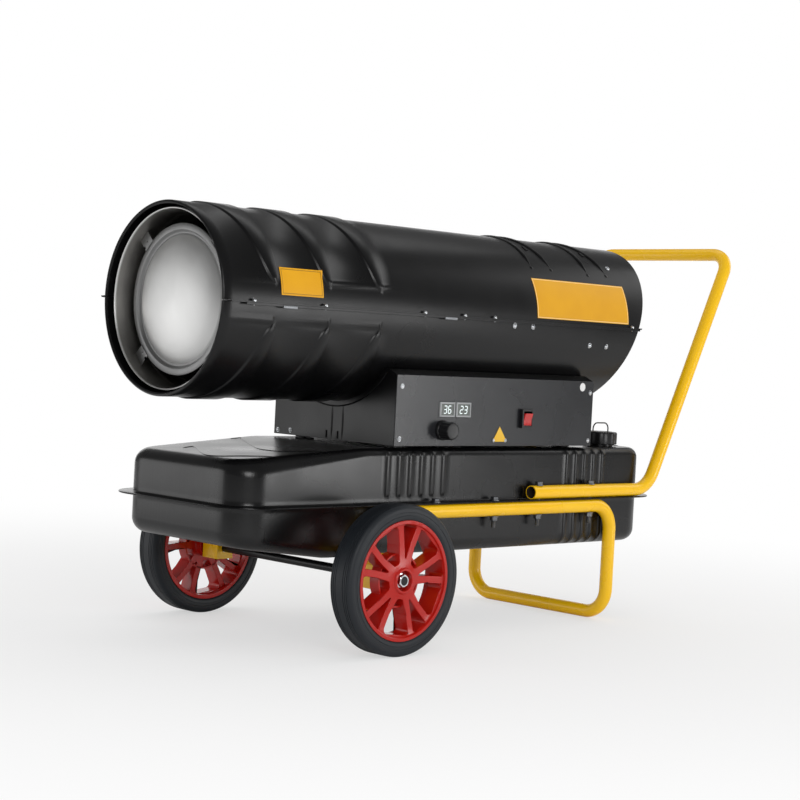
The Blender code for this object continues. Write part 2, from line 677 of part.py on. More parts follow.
def motor_and_pump():
    """Motor body, its bracket standing on the casing's floor, pump body and pump cover."""
    profile = [(0, SHAFT_BORE), (0, MOTOR_COLLAR), (MOTOR_COLLAR / 2, MOTOR_RADIUS),
               (MOTOR_LENGTH, MOTOR_RADIUS), (MOTOR_LENGTH, SHAFT_BORE)]
    body = turned_mesh(profile, at(MOTOR_X, 0, DRUM_Z), (1, 0, 0), 24, closed=True)
    add_object("fan_motor", body, ALLOY)
    profile = [(0, SHAFT_BORE), (0, PUMP_RADIUS), (PUMP_WALL + PUMP_DEPTH, PUMP_RADIUS),
               (PUMP_WALL + PUMP_DEPTH, ROTOR_RADIUS + PUMP_WALL / 4),
               (PUMP_WALL, ROTOR_RADIUS + PUMP_WALL / 4), (PUMP_WALL, SHAFT_BORE)]
    pump = turned_mesh(profile, at(PUMP_X, 0, DRUM_Z), (1, 0, 0), 24, closed=True)
    add_object("air_pump_body", pump, ALLOY)
    edge = PUMP_COVER / 3
    profile = [(0, 0), (0, PUMP_RADIUS), (PUMP_COVER - edge, PUMP_RADIUS), (PUMP_COVER, PUMP_RADIUS - edge),
               (PUMP_COVER, 0)]
    add_object("air_pump_cover", turned_mesh(profile, at(COVER_X, 0, DRUM_Z), (1, 0, 0), 24), ZINC)


def motor_bracket():
    """A sheet cradle: an upright plate round the motor on a foot that follows the casing."""
    reach = CASING_BORE - GAP
    span = asin(BRACKET_HALF_WIDTH / reach)
    foot = arc((0, DRUM_Z), reach, -pi / 2 - span, -pi / 2 + span, 6)
    inner = arc((0, DRUM_Z), reach - BRACKET_SHEET, -pi / 2 + span, -pi / 2 - span, 6)
    bm = prism_mesh([(0, u, v) for u, v in foot + inner], at(BRACKET_X, 0, 0), (BRACKET_FOOT, 0, 0))
    bracket = add_object("motor_bracket", bm, ZINC)
    waist = BRACKET_HALF_WIDTH * BRACKET_WAIST_SHARE
    crown = arc((0, DRUM_Z), BRACKET_HALF_WIDTH, BRACKET_CROWN_START, pi - BRACKET_CROWN_START, 8)
    plate = [(0, u, v) for u, v in foot + [(waist, DRUM_Z)] + crown + [(-waist, DRUM_Z)]]
    upright = prism_mesh(plate, at(BRACKET_X, 0, 0), (BRACKET_SHEET, 0, 0))
    boolean(bracket, add_cutter("bracket_upright", upright), "UNION")
    hole = rod_mesh(at(BRACKET_X - CUT_OVERRUN, 0, DRUM_Z),
                    at(BRACKET_X + BRACKET_SHEET + CUT_OVERRUN, 0, DRUM_Z),
                    clear_radius(MOTOR_RADIUS + GAP, 24), 24)
    boolean(bracket, add_cutter("bracket_hole", hole))
    return bracket


def fan_wheel():
    """Hub and pitched sheet blades, joined into one wheel on the shaft."""
    centre = at(FAN_X, 0, DRUM_Z)
    profile = [(0, SHAFT_BORE), (0, FAN_HUB_RADIUS), (FAN_HUB_LENGTH, FAN_HUB_RADIUS),
               (FAN_HUB_LENGTH, SHAFT_BORE)]
    wheel = add_object("fan", turned_mesh(profile, centre, (1, 0, 0), 24, closed=True), ALLOY, origin=centre)
    middle = centre + Vector((FAN_HUB_LENGTH / 2, 0, 0))
    root = FAN_HUB_RADIUS - CUT_OVERRUN
    for i in range(FAN_BLADES):
        turn = 2 * pi * i / FAN_BLADES
        half = FAN_BLADE_CHORD / 2
        right = [(half * BLADE_ROOT_SHARE, root), (half, FAN_RADIUS * BLADE_SHOULDER_SHARE),
                 (half * BLADE_TIP_SHARES[0], FAN_RADIUS * BLADE_TIP_SHARES[1])]
        outline = [(u, 0, v) for u, v in right] + [(-u, 0, v) for u, v in reversed(right)]
        bm = prism_mesh(outline, (0, -FAN_BLADE_SHEET / 2, 0), (0, FAN_BLADE_SHEET, 0))
        spin = Matrix.Rotation(turn, 4, "X") @ Matrix.Rotation(FAN_BLADE_PITCH + pi / 2, 4, "Z")
        bmesh.ops.transform(bm, matrix=Matrix.Translation(middle) @ spin, verts=bm.verts)
        boolean(wheel, add_cutter("fan_blade_%d" % (i + 1), bm), "UNION")
    return wheel


def shaft_and_rotor():
    """The motor shaft from the fan's nose to the pump rotor, and the rotor."""
    nose = at(FAN_X, 0, DRUM_Z)
    end = at(ROTOR_X + ROTOR_LENGTH, 0, DRUM_Z)
    add_object("motor_shaft", rod_mesh(nose, end, SHAFT_RADIUS, 16), CHROME, origin=nose)
    start = at(ROTOR_X, 0, DRUM_Z)
    rotor = ring_mesh(start, end, SHAFT_BORE, ROTOR_RADIUS, 24)
    add_object("pump_rotor", rotor, CERAMIC, origin=start)


motor_and_pump()
motor_bracket()
fan_wheel()
shaft_and_rotor()

# Rear guard: a slotted sheet set in the drum's slanting end
GUARD_SETBACK = 0.006
GUARD_SHEET = 0.0015
GUARD_RIM = 0.014
GUARD_SLOT = 0.019
GUARD_BAR = 0.006


def rear_guard():
    """An oval plate across the drum's rear, cut by level air slots."""
    lean = Matrix.Rotation(DRUM_REAR_TILT, 4, "Y")
    centre = at(DRUM_REAR - GUARD_SETBACK, 0, DRUM_Z)
    reach = CASING_BORE - GAP * 3
    thick = GUARD_SHEET / cos(DRUM_REAR_TILT)

    def oval(radius, low, high, steps):
        bm = rod_mesh((low, 0, 0), (high, 0, 0), radius, steps)
        for vert in bm.verts:
            vert.co.x += vert.co.z * tan(DRUM_REAR_TILT)
            vert.co += centre
        return bm

    guard = add_object("rear_guard", oval(reach, -thick, 0, 32), BLACK_PAINT)
    field = oval(reach - GUARD_RIM, -thick - CUT_OVERRUN, CUT_OVERRUN, 20)
    cutter = add_cutter("guard_field", field)
    rows = int((reach - GUARD_RIM) * 2 / (GUARD_SLOT + GUARD_BAR))
    span = rows * (GUARD_SLOT + GUARD_BAR) - GUARD_BAR
    bars = bmesh.new()
    wide = reach + CUT_OVERRUN
    for i in range(rows + 1):
        low = centre.z - span / 2 - GUARD_BAR + i * (GUARD_SLOT + GUARD_BAR)
        box = bmesh.ops.create_cube(bars, size=1.0)["verts"]
        bmesh.ops.scale(bars, vec=(DRUM_RADIUS, wide * 2, GUARD_BAR), verts=box)
        bmesh.ops.translate(bars, vec=(centre.x, 0, low + GUARD_BAR / 2), verts=box)
    boolean(cutter, add_cutter("guard_bars", bars))
    post = block_mesh((centre.x - DRUM_RADIUS, -GUARD_BAR / 2, centre.z - wide),
                      (centre.x + DRUM_RADIUS, GUARD_BAR / 2, centre.z + wide))
    boolean(cutter, add_cutter("guard_post", post))
    boolean(guard, cutter)
    return guard


rear_guard()

# Control housing between the tank and the drum
BOX_SHOULDER_WIDTH = 0.020
BOX_SHOULDER_RISE = 0.009
BOX_FOOT_SIZE = 0.024
BOX_FOOT_INSET = 0.040
SADDLE_STEPS = 72


def control_box():
    """Folded sheet housing: floor, ends and far side, open at the panel and under the drum."""
    half, rise, sheet = BOX_HALF_WIDTH, BOX_SHOULDER_RISE, BOX_SHEET
    inner = half - BOX_SHOULDER_WIDTH
    outline = [(0, -half, BOX_Z), (0, half, BOX_Z), (0, half, BOX_TOP), (0, inner, BOX_TOP + rise),
               (0, -inner, BOX_TOP + rise), (0, -half, BOX_TOP)]
    box = add_object("control_box", prism_mesh(outline, at(BOX_FRONT, 0, 0), (BOX_LENGTH, 0, 0)), BLACK_PAINT)
    ledge = BOX_TOP - sheet / 2
    room = [(0, -half - CUT_OVERRUN, BOX_Z + sheet), (0, half - sheet, BOX_Z + sheet),
            (0, half - sheet, ledge), (0, inner, ledge + rise - sheet / 2),
            (0, -inner, ledge + rise - sheet / 2), (0, -half + sheet, ledge), (0, -half - CUT_OVERRUN, ledge)]
    hollow = prism_mesh(room, at(BOX_FRONT + sheet, 0, 0), (BOX_LENGTH - 2 * sheet, 0, 0))
    boolean(box, add_cutter("box_room", hollow))
    saddle = rod_mesh(at(BOX_FRONT - CUT_OVERRUN, 0, DRUM_Z), at(BOX_REAR + CUT_OVERRUN, 0, DRUM_Z),
                      clear_radius(DRUM_RADIUS + GAP, SADDLE_STEPS), SADDLE_STEPS)
    boolean(box, add_cutter("box_saddle", saddle))
    reach = half - BOX_FOOT_INSET
    for i, x in enumerate((BOX_FRONT + BOX_FOOT_INSET, BOX_REAR - BOX_FOOT_INSET)):
        for word, y in (("near", -reach), ("far", reach)):
            low = at(x - BOX_FOOT_SIZE / 2, y - BOX_FOOT_SIZE / 2, TANK_TOP + GAP)
            foot = block_mesh(low, low + Vector((BOX_FOOT_SIZE, BOX_FOOT_SIZE, BOX_STAND + sheet / 2)))
            boolean(box, add_cutter("box_foot_%s_%d" % (word, i + 1), foot), "UNION")
    return box


housing = control_box()

# Panel with two displays, thermostat, rocker switch
PANEL_Y = -BOX_HALF_WIDTH - GAP
PANEL_FACE = PANEL_Y - PANEL_SHEET
DISPLAY_WIDTH = 0.0375
DISPLAY_HEIGHT = 0.0265
DISPLAY_DEPTH = 0.009
DISPLAY_PROUD = 0.0006
DISPLAY_PLACE_SHARE = 0.2022
DISPLAY_PITCH = 0.0409
DISPLAY_RISE = 0.0508
KNOB_PLACE_SHARE = 0.2204
KNOB_RISE = 0.0277
KNOB_RADIUS = 0.0165
KNOB_LENGTH = 0.028
KNOB_SKIRT = 0.0175
KNOB_SPINDLE = 0.003
KNOB_GROOVES = 12
KNOB_GROOVE_DEPTH = 0.001
KNOB_SKIRT_SHARE = 0.2
KNOB_CROWN_SHARES = (0.9, 0.86)
THERMOSTAT_RADIUS = 0.016
THERMOSTAT_DEPTH = 0.018
SPINDLE_SHARE = 0.6
SWITCH_PLACE_SHARE = 0.6327
SWITCH_RISE = 0.0502
SWITCH_WIDTH = 0.030
SWITCH_HEIGHT = 0.0345
SWITCH_DEPTH = 0.016
SWITCH_RIM = 0.004
SWITCH_PROUD = 0.008
ROCKER_PIVOT = 0.007
ROCKER_TILT = radians(9)
ROCKER_BACK_SHARES = (0.35, 0.62)
DISPLAY_X = BOX_LENGTH * DISPLAY_PLACE_SHARE
KNOB_X = BOX_LENGTH * KNOB_PLACE_SHARE
SWITCH_X = BOX_LENGTH * SWITCH_PLACE_SHARE


def panel_window(name, x, rise, width, height):
    """A cutter through the panel, centred on a place on it."""
    low = at(BOX_FRONT + x - width / 2, PANEL_FACE - CUT_OVERRUN, BOX_Z + rise - height / 2)
    high = at(BOX_FRONT + x + width / 2, PANEL_Y + CUT_OVERRUN, BOX_Z + rise + height / 2)
    return add_cutter(name, block_mesh(low, high))


def control_panel():
    """The panel sheet with its cut-outs, the two display windows and the thermostat behind it."""
    low, high = at(BOX_FRONT, PANEL_FACE, BOX_Z), at(BOX_REAR, PANEL_Y, BOX_TOP)
    panel = add_object("control_panel", block_mesh(low, high), GREY_PAINT)
    for i, side in enumerate(("left", "right")):
        x = DISPLAY_X + DISPLAY_PITCH * i + DISPLAY_WIDTH / 2
        boolean(panel, panel_window("window_" + side, x, DISPLAY_RISE + DISPLAY_HEIGHT / 2,
                                    DISPLAY_WIDTH + 2 * GAP, DISPLAY_HEIGHT + 2 * GAP))
        low = at(BOX_FRONT + x - DISPLAY_WIDTH / 2, PANEL_FACE - DISPLAY_PROUD, BOX_Z + DISPLAY_RISE)
        high = low + Vector((DISPLAY_WIDTH, DISPLAY_DEPTH, DISPLAY_HEIGHT))
        add_object("display_" + side, block_mesh(low, high), DISPLAY)
    boolean(panel, panel_window("switch_hole", SWITCH_X, SWITCH_RISE,
                                SWITCH_WIDTH - SWITCH_RIM + 2 * GAP, SWITCH_HEIGHT - SWITCH_RIM + 2 * GAP))
    spindle = at(BOX_FRONT + KNOB_X, PANEL_Y, BOX_Z + KNOB_RISE)
    back = Vector((0, 1, 0))
    hole = rod_mesh(spindle + back * CUT_OVERRUN, spindle - back * (PANEL_SHEET + CUT_OVERRUN),
                    KNOB_SPINDLE + 2 * RUNNING_GAP, 16)
    boolean(panel, add_cutter("spindle_hole", hole))
    body = ring_mesh(spindle + back * GAP, spindle + back * THERMOSTAT_DEPTH, KNOB_SPINDLE + RUNNING_GAP,
                     THERMOSTAT_RADIUS, 24)
    add_object("thermostat", body, ZINC)


def thermostat_knob():
    """A grooved knob with a skirt and the spindle that it turns."""
    centre = at(BOX_FRONT + KNOB_X, PANEL_FACE - RUNNING_GAP, BOX_Z + KNOB_RISE)
    skirt = KNOB_LENGTH * KNOB_SKIRT_SHARE
    depth = PANEL_SHEET + THERMOSTAT_DEPTH * SPINDLE_SHARE
    edge, crown = KNOB_LENGTH * KNOB_CROWN_SHARES[0], KNOB_RADIUS * KNOB_CROWN_SHARES[1]
    profile = [(-depth, 0), (-depth, KNOB_SPINDLE), (0, KNOB_SPINDLE), (0, KNOB_SKIRT), (skirt, KNOB_SKIRT),
               (skirt, KNOB_RADIUS), (edge, KNOB_RADIUS), (KNOB_LENGTH, crown), (KNOB_LENGTH, 0)]
    bm = turned_mesh(profile, centre, (0, -1, 0), KNOB_GROOVES * 2)
    for vert in bm.verts:
        out = vert.co - centre
        out.y = 0
        is_grip = abs(out.length - KNOB_RADIUS) < GAP
        if is_grip and round(atan2(out.z, out.x) * KNOB_GROOVES / pi) % 2:
            vert.co -= out.normalized() * KNOB_GROOVE_DEPTH
    add_object("thermostat_knob", bm, BLACK_PLASTIC, smooth=25.0, origin=centre)


def rocker_switch():
    """The switch's bezel and housing, and the lens that rocks in it."""
    x, z = BOX_FRONT + SWITCH_X, BOX_Z + SWITCH_RISE
    half_w, half_h, rim = SWITCH_WIDTH / 2, SWITCH_HEIGHT / 2, SWITCH_RIM
    front = PANEL_FACE - GAP
    face = front - SWITCH_PROUD
    plate = block_mesh(at(x - half_w, face, z - half_h), at(x + half_w, front, z + half_h))
    bezel = add_object("switch_bezel", plate, BLACK_PLASTIC)
    body = block_mesh(at(x - half_w + rim / 2, face + SWITCH_PROUD / 2, z - half_h + rim / 2),
                      at(x + half_w - rim / 2, front + SWITCH_DEPTH, z + half_h - rim / 2))
    boolean(bezel, add_cutter("switch_housing", body), "UNION")
    well = block_mesh(at(x - half_w + rim, face - CUT_OVERRUN, z - half_h + rim),
                      at(x + half_w - rim, front + SWITCH_DEPTH - rim / 2, z + half_h - rim))
    boolean(bezel, add_cutter("switch_well", well))
    width = half_w - rim - RUNNING_GAP
    reach = half_h - rim - RUNNING_GAP
    swing = sqrt(reach ** 2 + ROCKER_PIVOT ** 2)
    lean = asin(ROCKER_PIVOT / swing) + ROCKER_TILT
    tip = (-swing * sin(lean), swing * cos(lean))
    back = (ROCKER_PIVOT * ROCKER_BACK_SHARES[0], reach * ROCKER_BACK_SHARES[1])
    outline = [(-width, tip[0], -tip[1]), (-width, -ROCKER_PIVOT, 0), (-width, *tip), (-width, *back),
               (-width, back[0], -back[1])]
    pivot = at(x, face + ROCKER_PIVOT, z)
    bm = prism_mesh(outline, (0, 0, 0), (2 * width, 0, 0))
    tilt = Matrix.Translation(pivot) @ Matrix.Rotation(ROCKER_TILT, 4, "X")
    bmesh.ops.transform(bm, matrix=tilt, verts=bm.verts)
    add_object("rocker_switch", bm, RED_LENS, origin=pivot)


control_panel()
thermostat_knob()
rocker_switch()

# What the housing holds: ignition transformer, circuit board and the supply cord's gland
TRANSFORMER_PAST_PICKUP = 0.0573
TRANSFORMER_Y = 0.045
TRANSFORMER_LENGTH = 0.085
TRANSFORMER_WIDTH = 0.060
TRANSFORMER_HEADROOM = 0.008
TRANSFORMER_EDGE = 0.005
PICKUP_TO_CHAMBER = 0.047
PICKUP_Y = 0.050
BOARD_PLACE_SHARE = 0.1913
BOARD_LENGTH = 0.130
BOARD_HEIGHT = 0.070
BOARD_SHEET = 0.0016
BOARD_FOOT = 0.012
BOARD_BEHIND_PANEL = 0.024
GLAND_RADIUS = 0.011
GLAND_NECK = 0.0077
GLAND_BORE = 0.0045
GLAND_LENGTH = 0.016
GLAND_HEX = 0.010
GLAND_RISE = 0.035
GLAND_Y = 0.070
GLAND_NUT = 0.004
PICKUP_X = CHAMBER_REAR + PICKUP_TO_CHAMBER
BOARD_X = BOX_LENGTH * BOARD_PLACE_SHARE


def box_contents():
    """Pieces that stand on the housing's floor."""
    floor = BOX_Z + BOX_SHEET + GAP
    low = at(PICKUP_X + TRANSFORMER_PAST_PICKUP, TRANSFORMER_Y - TRANSFORMER_WIDTH / 2, floor)
    height = DRUM_Z - DRUM_RADIUS - TRANSFORMER_HEADROOM - floor
    size = Vector((TRANSFORMER_LENGTH, TRANSFORMER_WIDTH, height))
    bm = rounded_block_mesh(low, low + size, TRANSFORMER_EDGE, 1)
    add_object("ignition_transformer", bm, BLACK_PLASTIC)
    low = at(BOX_FRONT + BOARD_X, PANEL_Y + BOARD_BEHIND_PANEL, floor)
    outline = [(0, 0, 0), (0, BOARD_FOOT, 0), (0, BOARD_FOOT, BOARD_SHEET), (0, BOARD_SHEET, BOARD_SHEET),
               (0, BOARD_SHEET, BOARD_HEIGHT), (0, 0, BOARD_HEIGHT)]
    add_object("control_board", prism_mesh(outline, low, (BOARD_LENGTH, 0, 0)), CIRCUIT)


def cable_gland():
    """Screwed gland in the housing's rear wall, where the supply cord enters."""
    centre = at(BOX_REAR, GLAND_Y, BOX_Z + GLAND_RISE)
    inside = -BOX_SHEET - GAP
    profile = [(inside - GLAND_NUT, GLAND_BORE), (inside - GLAND_NUT, GLAND_RADIUS), (inside, GLAND_RADIUS),
               (inside, GLAND_NECK), (GAP, GLAND_NECK), (GAP, GLAND_RADIUS), (GLAND_HEX, GLAND_RADIUS),
               (GLAND_LENGTH, GLAND_NECK), (GLAND_LENGTH, GLAND_BORE)]
    add_object("cable_gland", turned_mesh(profile, centre, (1, 0, 0), 16, closed=True), BLACK_PLASTIC)
    out = Vector((CUT_OVERRUN, 0, 0))
    boolean(housing, add_cutter("gland_hole", rod_mesh(centre - out, centre + out, GLAND_NECK + GAP, 16)))


box_contents()
cable_gland()

# Handle and stand, each bent from one tube, and the bolts that hold them to the tank's flange
STAND_LEG_GAP = 0.002
STAND_FRONT_RADIUS = 0.060
BOLT_RADIUS = 0.004
BOLT_HEX = 0.0075
BOLT_HEAD = 0.0053
BOLT_NUT = 0.0065
BOLT_WASHER = 0.0016
BOLT_WASHER_RADIUS = 0.0085
BOLT_TAIL = 0.021
BOLT_FLATS_TURN = radians(9)
FLANGE_BOLT_SHARES = (0.4076, 0.7676)
HANDLE_BOLT_INSETS = (0.021, 0.1685)
FLANGE_BOLTS_X = [HANDLE_START_X * share for share in FLANGE_BOLT_SHARES]
HANDLE_BOLTS_X = [HANDLE_START_X + inset for inset in HANDLE_BOLT_INSETS]
TUBE_UNDERSIDE = STAND_Z - TUBE_RADIUS


def mirrored(corners):
    """A path's corners on the near side, followed by their mirror images on the far side."""
    return corners + [Vector((corner.x, -corner.y, corner.z)) for corner in reversed(corners)]


def handle_tube():
    """Push handle: two runs on the tank's flange, two arms and the cross bar."""
    corners = [at(HANDLE_START_X, -TUBE_Y, HANDLE_Z), at(HANDLE_BEND_X, -TUBE_Y, HANDLE_Z),
               at(HANDLE_TOP_X, -TUBE_Y, HANDLE_Z + HANDLE_RISE)]
    radii = [HANDLE_LOWER_RADIUS, HANDLE_TOP_RADIUS, HANDLE_TOP_RADIUS, HANDLE_LOWER_RADIUS]
    path = filleted_path(mirrored(corners), radii)
    return add_object("handle_tube", swept_mesh(path, TUBE_RADIUS, TUBE_WALL), YELLOW_PAINT)


def stand_tube():
    """Stand: legs up from the axle, runs under the flange, legs down to the foot on the ground."""
    corners = [at(0, -TUBE_Y, AXLE_Z + AXLE_RADIUS + STAND_LEG_GAP), at(0, -TUBE_Y, STAND_Z),
               at(STAND_REAR_X, -TUBE_Y, STAND_Z), at(STAND_REAR_X, -TUBE_Y, TUBE_RADIUS)]
    radii = [STAND_FRONT_RADIUS] + [STAND_RADIUS] * 4 + [STAND_FRONT_RADIUS]
    path = filleted_path(mirrored(corners), radii)
    return add_object("stand_tube", swept_mesh(path, TUBE_RADIUS, TUBE_WALL), YELLOW_PAINT)


def frame_bolt(name, x, y, seat):
    """Hexagon bolt with its washers and nut, seated on the given height."""
    centre = at(x, y, seat + GAP)
    under = TUBE_UNDERSIDE - GAP - centre.z
    washer = BOLT_WASHER
    round_parts = [(under - BOLT_TAIL, 0), (under - BOLT_TAIL, BOLT_RADIUS), (under - washer, BOLT_RADIUS),
                   (under - washer, BOLT_WASHER_RADIUS), (under, BOLT_WASHER_RADIUS), (under, BOLT_RADIUS),
                   (0, BOLT_RADIUS), (0, BOLT_WASHER_RADIUS), (washer, BOLT_WASHER_RADIUS), (washer, 0)]
    bolt = add_object(name, turned_mesh(round_parts, centre, (0, 0, 1), 8), ZINC)
    core = BOLT_RADIUS / 2
    six_sided = [(under - washer - BOLT_NUT, 0), (under - washer - BOLT_NUT, BOLT_HEX),
                 (under - washer / 2, BOLT_HEX), (under - washer / 2, core), (washer / 2, core),
                 (washer / 2, BOLT_HEX), (washer + BOLT_HEAD, BOLT_HEX), (washer + BOLT_HEAD, 0)]
    flats = turned_mesh(six_sided, centre, (0, 0, 1), 6, turn=BOLT_FLATS_TURN)
    boolean(bolt, add_cutter(name + "_flats", flats), "UNION")


def add_hole(bm, start, end, radius, steps=8):
    """Join one more round hole's bar to a cutter's mesh."""
    rod = rod_mesh(start, end, clear_radius(radius, steps), steps)
    mesh = bpy.data.meshes.new("joined_bar")
    rod.to_mesh(mesh)
    rod.free()
    bm.from_mesh(mesh)
    bpy.data.meshes.remove(mesh)


def frame_bolts(clamped):
    """All bolts of the frame, and one cutter for their holes in what they clamp."""
    holes = bmesh.new()
    number = 0
    for places, seat in ((FLANGE_BOLTS_X, FLANGE_Z + FLANGE_STACK), (HANDLE_BOLTS_X, HANDLE_Z + TUBE_RADIUS)):
        for x in places:
            for y in (-TUBE_Y, TUBE_Y):
                number += 1
                frame_bolt("frame_bolt_%d" % number, x, y, seat)
                add_hole(holes, at(x, y, TUBE_UNDERSIDE - CUT_OVERRUN), at(x, y, seat + CUT_OVERRUN),
                        BOLT_RADIUS + GAP)
    cutter = add_cutter("bolt_holes", holes)
    for piece in clamped:
        boolean(piece, cutter)


frame_bolts([handle_tube(), stand_tube(), tank_upper, tank_lower])

# Axle, its two brackets and two nuts
WHEEL_STANDOFF = 0.0464
HUB_RADIUS = 0.0204
HUB_RECESS = 0.012
HUB_RECESS_RADIUS = 0.0165
RIM_INSET = 0.001
AXLE_BRACKET_LENGTH = 0.036
AXLE_BRACKET_WIDTH = 0.0418
AXLE_BRACKET_SHEET = 0.003
AXLE_BRACKET_DROP = 0.020
AXLE_BRACKET_TOP = 0.040
AXLE_BRACKET_WEB = 0.020
NUT_RADIUS = 0.011
NUT_HEIGHT = 0.008
NUT_FLANGE_RADIUS = 0.014
NUT_FLANGE = 0.002
AXLE_PAST_NUT = 0.0012
WHEEL_INNER_Y = TUBE_Y + TUBE_RADIUS + WHEEL_STANDOFF
WHEEL_MID_Y = WHEEL_INNER_Y + TYRE_WIDTH / 2
HUB_SEAT_Y = WHEEL_INNER_Y + TYRE_WIDTH - RIM_INSET - HUB_RECESS


def axle_bracket(name, side):
    """A channel welded to the stand's leg, with the axle through both cheeks."""
    sheet, half = AXLE_BRACKET_SHEET, AXLE_BRACKET_LENGTH / 2
    inner = TUBE_Y + TUBE_RADIUS + GAP
    outer = inner + AXLE_BRACKET_WIDTH
    outline = [(half, inner), (half, inner + sheet), (sheet - half, inner + sheet),
               (sheet - half, outer - sheet), (half, outer - sheet), (half, outer), (-half, outer),
               (-half, inner)]
    height = AXLE_BRACKET_DROP + AXLE_BRACKET_TOP
    foot = at(0, 0, AXLE_Z - AXLE_BRACKET_DROP)
    bm = prism_mesh([(x, side * y, 0) for x, y in outline], foot, (0, 0, height))
    bracket = add_object(name, bm, YELLOW_PAINT)
    hole = rod_mesh(at(0, side * (inner - CUT_OVERRUN), AXLE_Z), at(0, side * (outer + CUT_OVERRUN), AXLE_Z),
                    clear_radius(AXLE_RADIUS + GAP, 16), 16)
    boolean(bracket, add_cutter(name + "_hole", hole))
    ends = sorted((side * (inner + sheet), side * (outer - sheet)))
    notch = block_mesh(at(-half - CUT_OVERRUN, ends[0], AXLE_Z + AXLE_BRACKET_WEB),
                       at(sheet - half + CUT_OVERRUN, ends[1], AXLE_Z + AXLE_BRACKET_TOP + CUT_OVERRUN))
    boolean(bracket, add_cutter(name + "_notch", notch))


def axle_nut(name, side):
    """Flanged hexagon nut in the hub's recess."""
    seat = at(0, side * (HUB_SEAT_Y + RUNNING_GAP), AXLE_Z)
    out = Vector((0, side, 0))
    nut = add_object(name, rod_mesh(seat, seat + out * NUT_FLANGE, NUT_FLANGE_RADIUS, 20), CHROME)
    body = rod_mesh(seat + out * NUT_FLANGE / 2, seat + out * (NUT_FLANGE + NUT_HEIGHT), NUT_RADIUS, 6)
    boolean(nut, add_cutter(name + "_hexagon", body), "UNION")
    hole = rod_mesh(seat - out * CUT_OVERRUN, seat + out * (NUT_FLANGE + NUT_HEIGHT + CUT_OVERRUN),
                    clear_radius(AXLE_RADIUS + GAP, 16), 16)
    boolean(nut, add_cutter(name + "_thread", hole))


def axle():
    """One rod through both brackets and both wheels."""
    end = HUB_SEAT_Y + NUT_FLANGE + NUT_HEIGHT + AXLE_PAST_NUT
    add_object("axle", rod_mesh(at(0, -end, AXLE_Z), at(0, end, AXLE_Z), AXLE_RADIUS, 24), BLACK_PAINT)


axle()
for word, side in (("near", -1), ("far", 1)):
    axle_bracket("axle_bracket_" + word, side)
    axle_nut("axle_nut_" + word, side)

# Wheels: solid tyre on a moulded rim with five twin spokes
TYRE_SHOULDER = 0.008
TYRE_SHOULDER_SHARE = 0.3
TYRE_STEPS = 36
RIM_STEPS = 36
RIM_WALL = 0.007
HUB_BORE = AXLE_RADIUS + RUNNING_GAP
SPOKE_INSET = 0.005
SPOKE_DEPTH = 0.014
SPOKE_GROUPS = 5
SPOKE_TURN = radians(83)
TWIN_WINDOW_SHARES = (0.37, 0.62, 0.91)
TWIN_WINDOW_ANGLES = (2.0, 6.5, 9.5)
WIDE_WINDOW_SHARES = (0.29, 0.36, 0.60, 0.91)
WIDE_WINDOW_ANGLES = (13.0, 19.0, 20.0, 19.0)


def tyre(name, side):
    """Solid rubber tyre with rounded shoulders."""
    half, outer, bore = TYRE_WIDTH / 2, WHEEL_RADIUS, clear_radius(RIM_RADIUS + GAP, TYRE_STEPS)
    soft, edge = TYRE_SHOULDER, TYRE_SHOULDER * TYRE_SHOULDER_SHARE
    right = [(half, bore), (half, outer - soft), (half - edge, outer - edge), (half - soft, outer)]
    profile = right + [(-height, radius) for height, radius in reversed(right)]
    centre = at(0, side * WHEEL_MID_Y, AXLE_Z)
    bm = turned_mesh(profile, centre, (0, side, 0), TYRE_STEPS, closed=True)
    add_object(name, bm, TYRE_RUBBER, origin=centre)


def window_outline(middle, shares, angles, side):
    """Outline of a window between spokes: half angles in degrees at shares of the rim's radius."""
    limits = list(zip(shares, angles))
    outline = []
    for way in (-1, 1):
        edge = [(share, middle + way * radians(half)) for share, half in limits]
        outline += edge if way < 0 else edge[::-1]
        if way < 0:
            share, half = limits[-1]
            outline += [(share, middle + radians(half) * step / 2) for step in (-1, 0, 1)]
    points = [(RIM_RADIUS * share, turn) for share, turn in outline]
    return [(-side * radius * cos(turn), 0, radius * sin(turn)) for radius, turn in points]


def rim(name, side):
    """Moulded rim: barrel, windowed spoke disc and a hub with a recess for the nut."""
    half = TYRE_WIDTH / 2 - RIM_INSET
    centre = at(0, side * WHEEL_MID_Y, AXLE_Z)
    barrel = RIM_RADIUS - RIM_WALL
    face = half - SPOKE_INSET
    back = face - SPOKE_DEPTH
    profile = [(-half, HUB_BORE), (-half, HUB_RADIUS), (back, HUB_RADIUS), (back, barrel), (-half, barrel),
               (-half, RIM_RADIUS), (half, RIM_RADIUS), (half, RIM_RADIUS - RIM_WALL / 2), (face, barrel),
               (face, HUB_RADIUS), (half, HUB_RADIUS), (half, HUB_RECESS_RADIUS),
               (half - HUB_RECESS, HUB_RECESS_RADIUS), (half - HUB_RECESS, HUB_BORE)]
    wheel = add_object(name, turned_mesh(profile, centre, (0, side, 0), RIM_STEPS, closed=True), RED_PLASTIC,
                       origin=centre)
    through = Vector((0, side * TYRE_WIDTH, 0))
    for i in range(SPOKE_GROUPS):
        middle = SPOKE_TURN + i * 2 * pi / SPOKE_GROUPS
        windows = (("twin", middle, TWIN_WINDOW_SHARES, TWIN_WINDOW_ANGLES),
                   ("wide", middle + pi / SPOKE_GROUPS, WIDE_WINDOW_SHARES, WIDE_WINDOW_ANGLES))
        for word, turn, shares, angles in windows:
            bm = prism_mesh(window_outline(turn, shares, angles, side), centre - through, 2 * through)
            boolean(wheel, add_cutter("%s_%s_%d" % (name, word, i + 1), bm))


